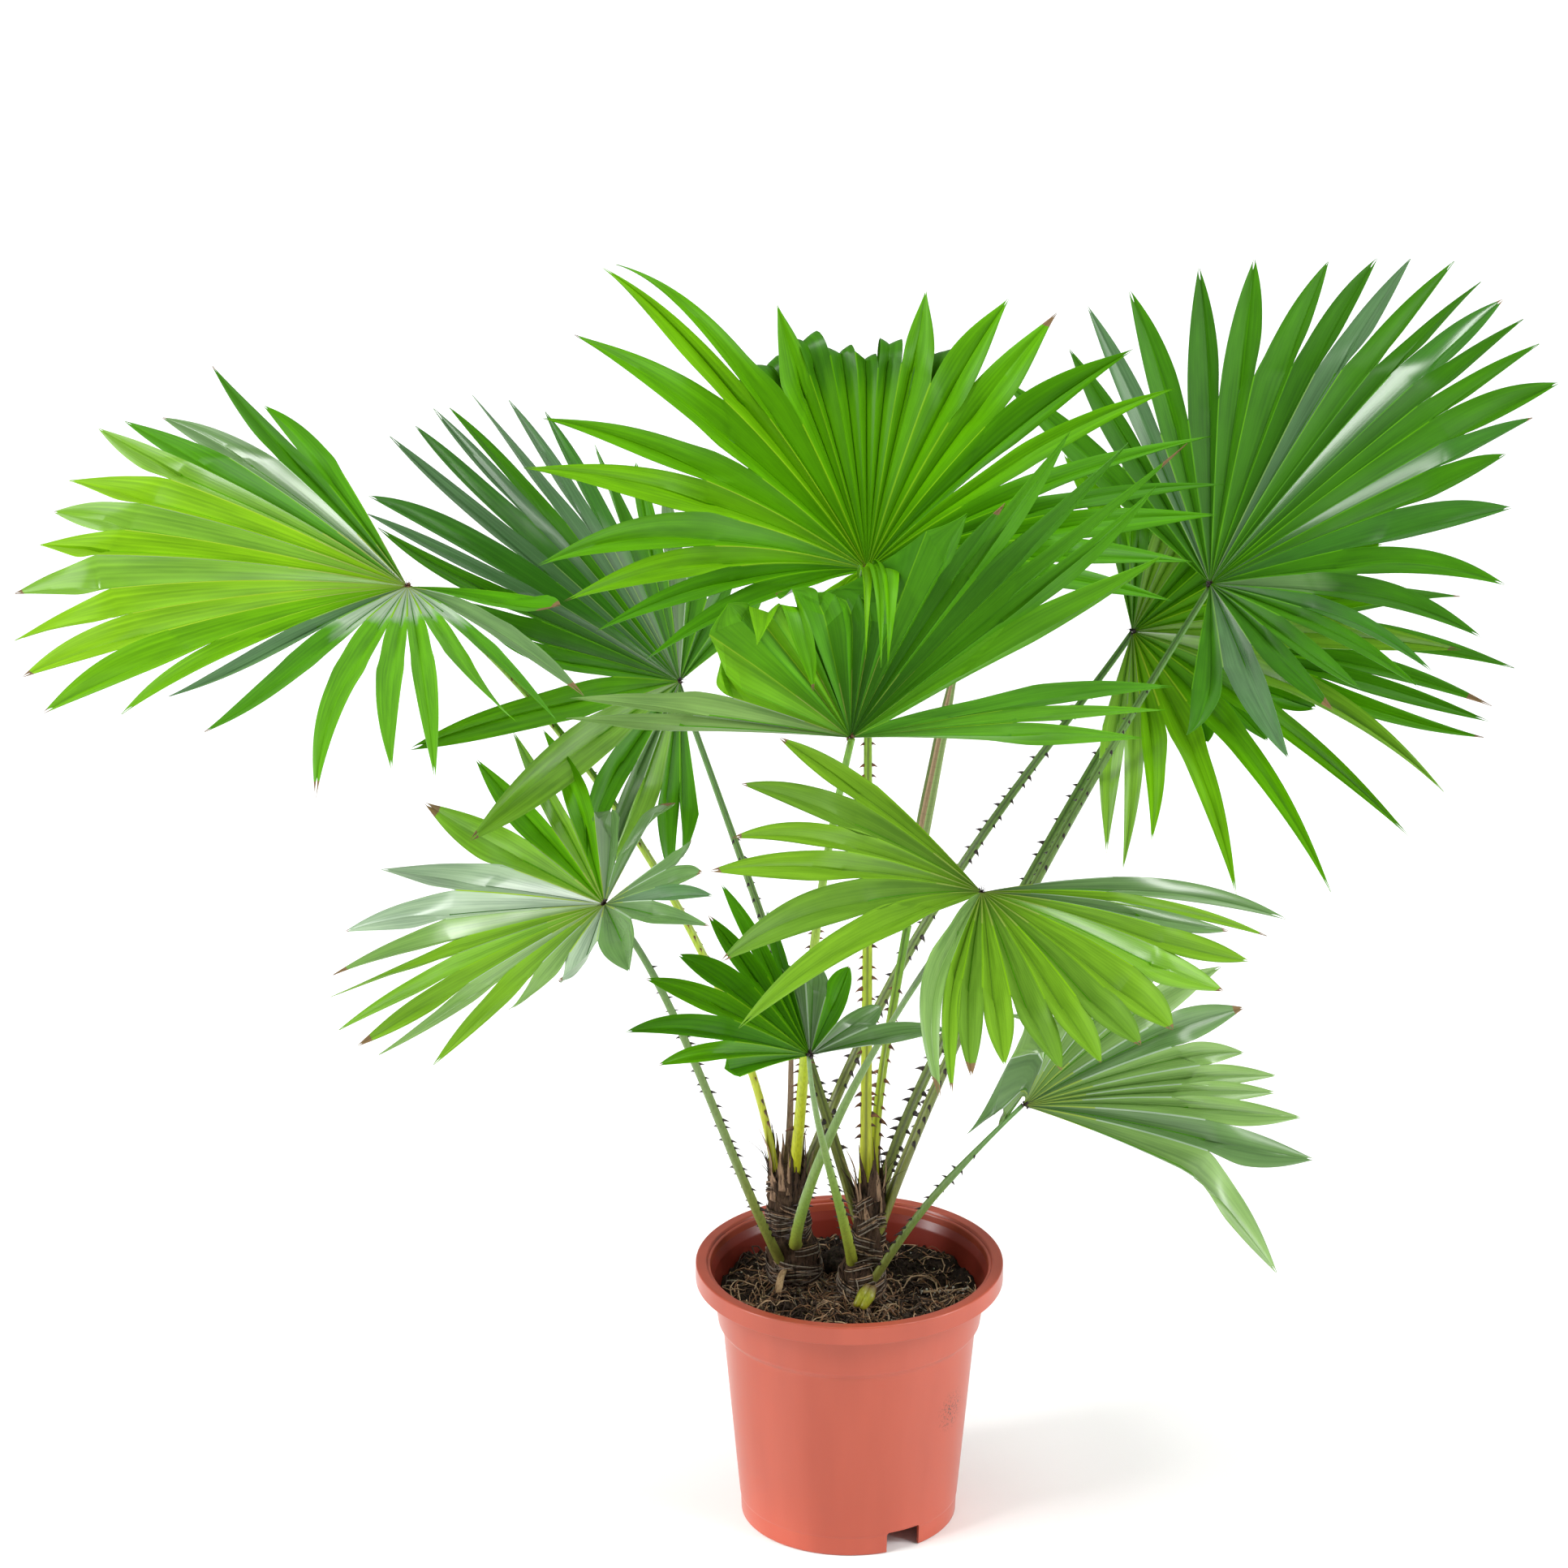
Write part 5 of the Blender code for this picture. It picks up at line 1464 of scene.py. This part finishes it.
# Spear leaf, dead stalk and cut leaf base
# The youngest leaf is still folded shut, a pleated rod on a spiny stalk. A dead stalk stands
# beside it, brown and dry. The stub of a cut leaf base is left at the right stem's foot, and
# woody scars show where two more were cut off.
SPEAR_STALK = ((0.019, 0.006, 0.270), (0.017, 0.016, 0.338), (0.032, 0.025, 0.409),
               (0.044, 0.035, 0.483))
SPEAR = (((0.0441, 0.0351, 0.4837), 0.0034), ((0.049, 0.038, 0.520), 0.0058),
         ((0.057, 0.043, 0.570), 0.0066), ((0.068, 0.050, 0.630), 0.0058),
         ((0.080, 0.057, 0.690), 0.0030))
DEAD_STALK = ((-0.051, 0.022, 0.272), (-0.042, 0.015, 0.332), (-0.049, 0.008, 0.396),
              (-0.042, 0.000, 0.454))
DEAD_THICK, DEAD_THIN, DEAD_ROWS = 0.0040, 0.0014, 30
STUB_ROWS, STUB_SIDES = 11, 12
STUB_LOBES = (
    ((0.0145, -0.0290, 0.2070), (0.0105, -0.0355, 0.2030), (0.0045, -0.0415, 0.1945)),
    ((0.0185, -0.0310, 0.2065), (0.0155, -0.0375, 0.2015), (0.0095, -0.0435, 0.1935)),
)
OLD_SCARS = (((-0.0500, 0.0000, 0.2080), (-0.0540, -0.0120, 0.2050), (-0.0555, -0.0200, 0.1960)),
             ((0.0140, -0.0060, 0.2590), (0.0160, -0.0130, 0.2570), (0.0165, -0.0165, 0.2530)))


def drawn(corners, rows):
    """Points along the curve drawn by four corners."""
    a, b, c, d = (Vector(p) for p in corners)
    return [bezier(a, b, c, d, i / (rows - 1)) for i in range(rows)]


def folded_spear():
    """The unopened blade: nine pleats pressed together into a rod, some of them tan."""
    pleats, rows = 9, 40
    points, faces, kinds = [], [], []
    stations = [(Vector(p), r) for p, r in SPEAR]
    for i in range(rows):
        t = i / (rows - 1) * (len(stations) - 1)
        k = min(int(t), len(stations) - 2)
        (low, low_r), (high, high_r) = stations[k], stations[k + 1]
        s = (t - k) * (t - k) * (3 - 2 * (t - k))
        centre, radius = low.lerp(high, t - k), low_r + (high_r - low_r) * s
        way = (stations[-1][0] - stations[0][0]).normalized()
        side = way.orthogonal().normalized()
        up = way.cross(side)
        for j in range(2 * pleats):
            turn = math.pi * j / pleats + 0.4 * i / rows
            r = radius * (1.0 if j % 2 else 0.72)
            points.append(centre + (side * math.cos(turn) + up * 0.8 * math.sin(turn)) * r)
    around = 2 * pleats
    for i in range(rows - 1):
        for j in range(around):
            a, b = i * around + j, i * around + (j + 1) % around
            faces.append((a, b, b + around, a + around))
            kinds.append(1 if j in (2, 3, 8, 9, 10) else 0)
    faces.append(tuple(range(around - 1, -1, -1)))
    faces.append(tuple(range((rows - 1) * around, rows * around)))
    kinds += [0, 1]
    skins = (leaf_skin("spear_green", (0.20, 0.30, 0.10), 0.45),
             leaf_skin("spear_tan", (0.36, 0.28, 0.16), 0.6))
    mesh = joined_mesh("spear_leaf", [(points, faces, kinds)], skins, smooth=False)
    mesh.uv_layers.new(name="finger")
    make_piece("spear_leaf", mesh, "petiole_green", "spear_blade")


leaf_stalk("stalk_spear", "spear_petiole", drawn(SPEAR_STALK, 40), (0.0042, 0.0036, 0.0034), 0.85,
           STALK_SKINS["lime"], 50, Vector((-0.5, -0.6, 0.3)).normalized(), 0.2)
folded_spear()
dry_skin = wrapped_bark("dead_stalk", (0.110, 0.070, 0.045), (0.300, 0.210, 0.140))
dead_radii = [DEAD_THICK + (DEAD_THIN - DEAD_THICK) * i / (DEAD_ROWS - 1) for i in range(DEAD_ROWS)]
dead_shape = tube(drawn(DEAD_STALK, DEAD_ROWS), dead_radii, 8, 0.6)
make_piece("dead_stalk", joined_mesh("dead_stalk", [(*dead_shape, 0)], [dry_skin]), "dry",
           "dry_petiole")
stub_skin = stalk_skin("stub_skin", (0.34, 0.31, 0.02), (0.38, 0.41, 0.02), (0.17, 0.11, 0.04))
stub_shapes = []
for inner, middle, outer in STUB_LOBES:
    lobe = [Vector(inner).lerp(Vector(middle), k / 5) for k in range(5)]
    lobe += [Vector(middle).lerp(Vector(outer), k / 5) for k in range(6)]
    swell = [0.0042 - 0.0014 * abs(k - 5) / 5 for k in range(10)] + [0.0020]
    stub_shapes.append((*tube(lobe, swell, STUB_SIDES, 0.80, (0.9, 0.3, 0.0)), 0))
stub_mesh = joined_mesh("leaf_base_stub", stub_shapes, [stub_skin])
stub_map = stub_mesh.uv_layers.new(name="length")
for loop in stub_mesh.loops:
    row = loop.vertex_index % (STUB_ROWS * STUB_SIDES) // STUB_SIDES
    stub_map.data[loop.index].uv = (1.0, 1 - row / (STUB_ROWS - 1))
make_piece("leaf_base_stub", stub_mesh, "petiole_lime", "leaf_base")
scar_skin = wrapped_bark("old_scar", (0.200, 0.115, 0.055), (0.520, 0.360, 0.200))
scar_shapes = [(*tube(drawn((a, b, b, c), 8), [0.0042] * 7 + [0.0030], 8, 0.5), 0)
               for a, b, c in OLD_SCARS]
make_piece("old_leaf_scars", joined_mesh("old_leaf_scars", scar_shapes, [scar_skin]), "dry")
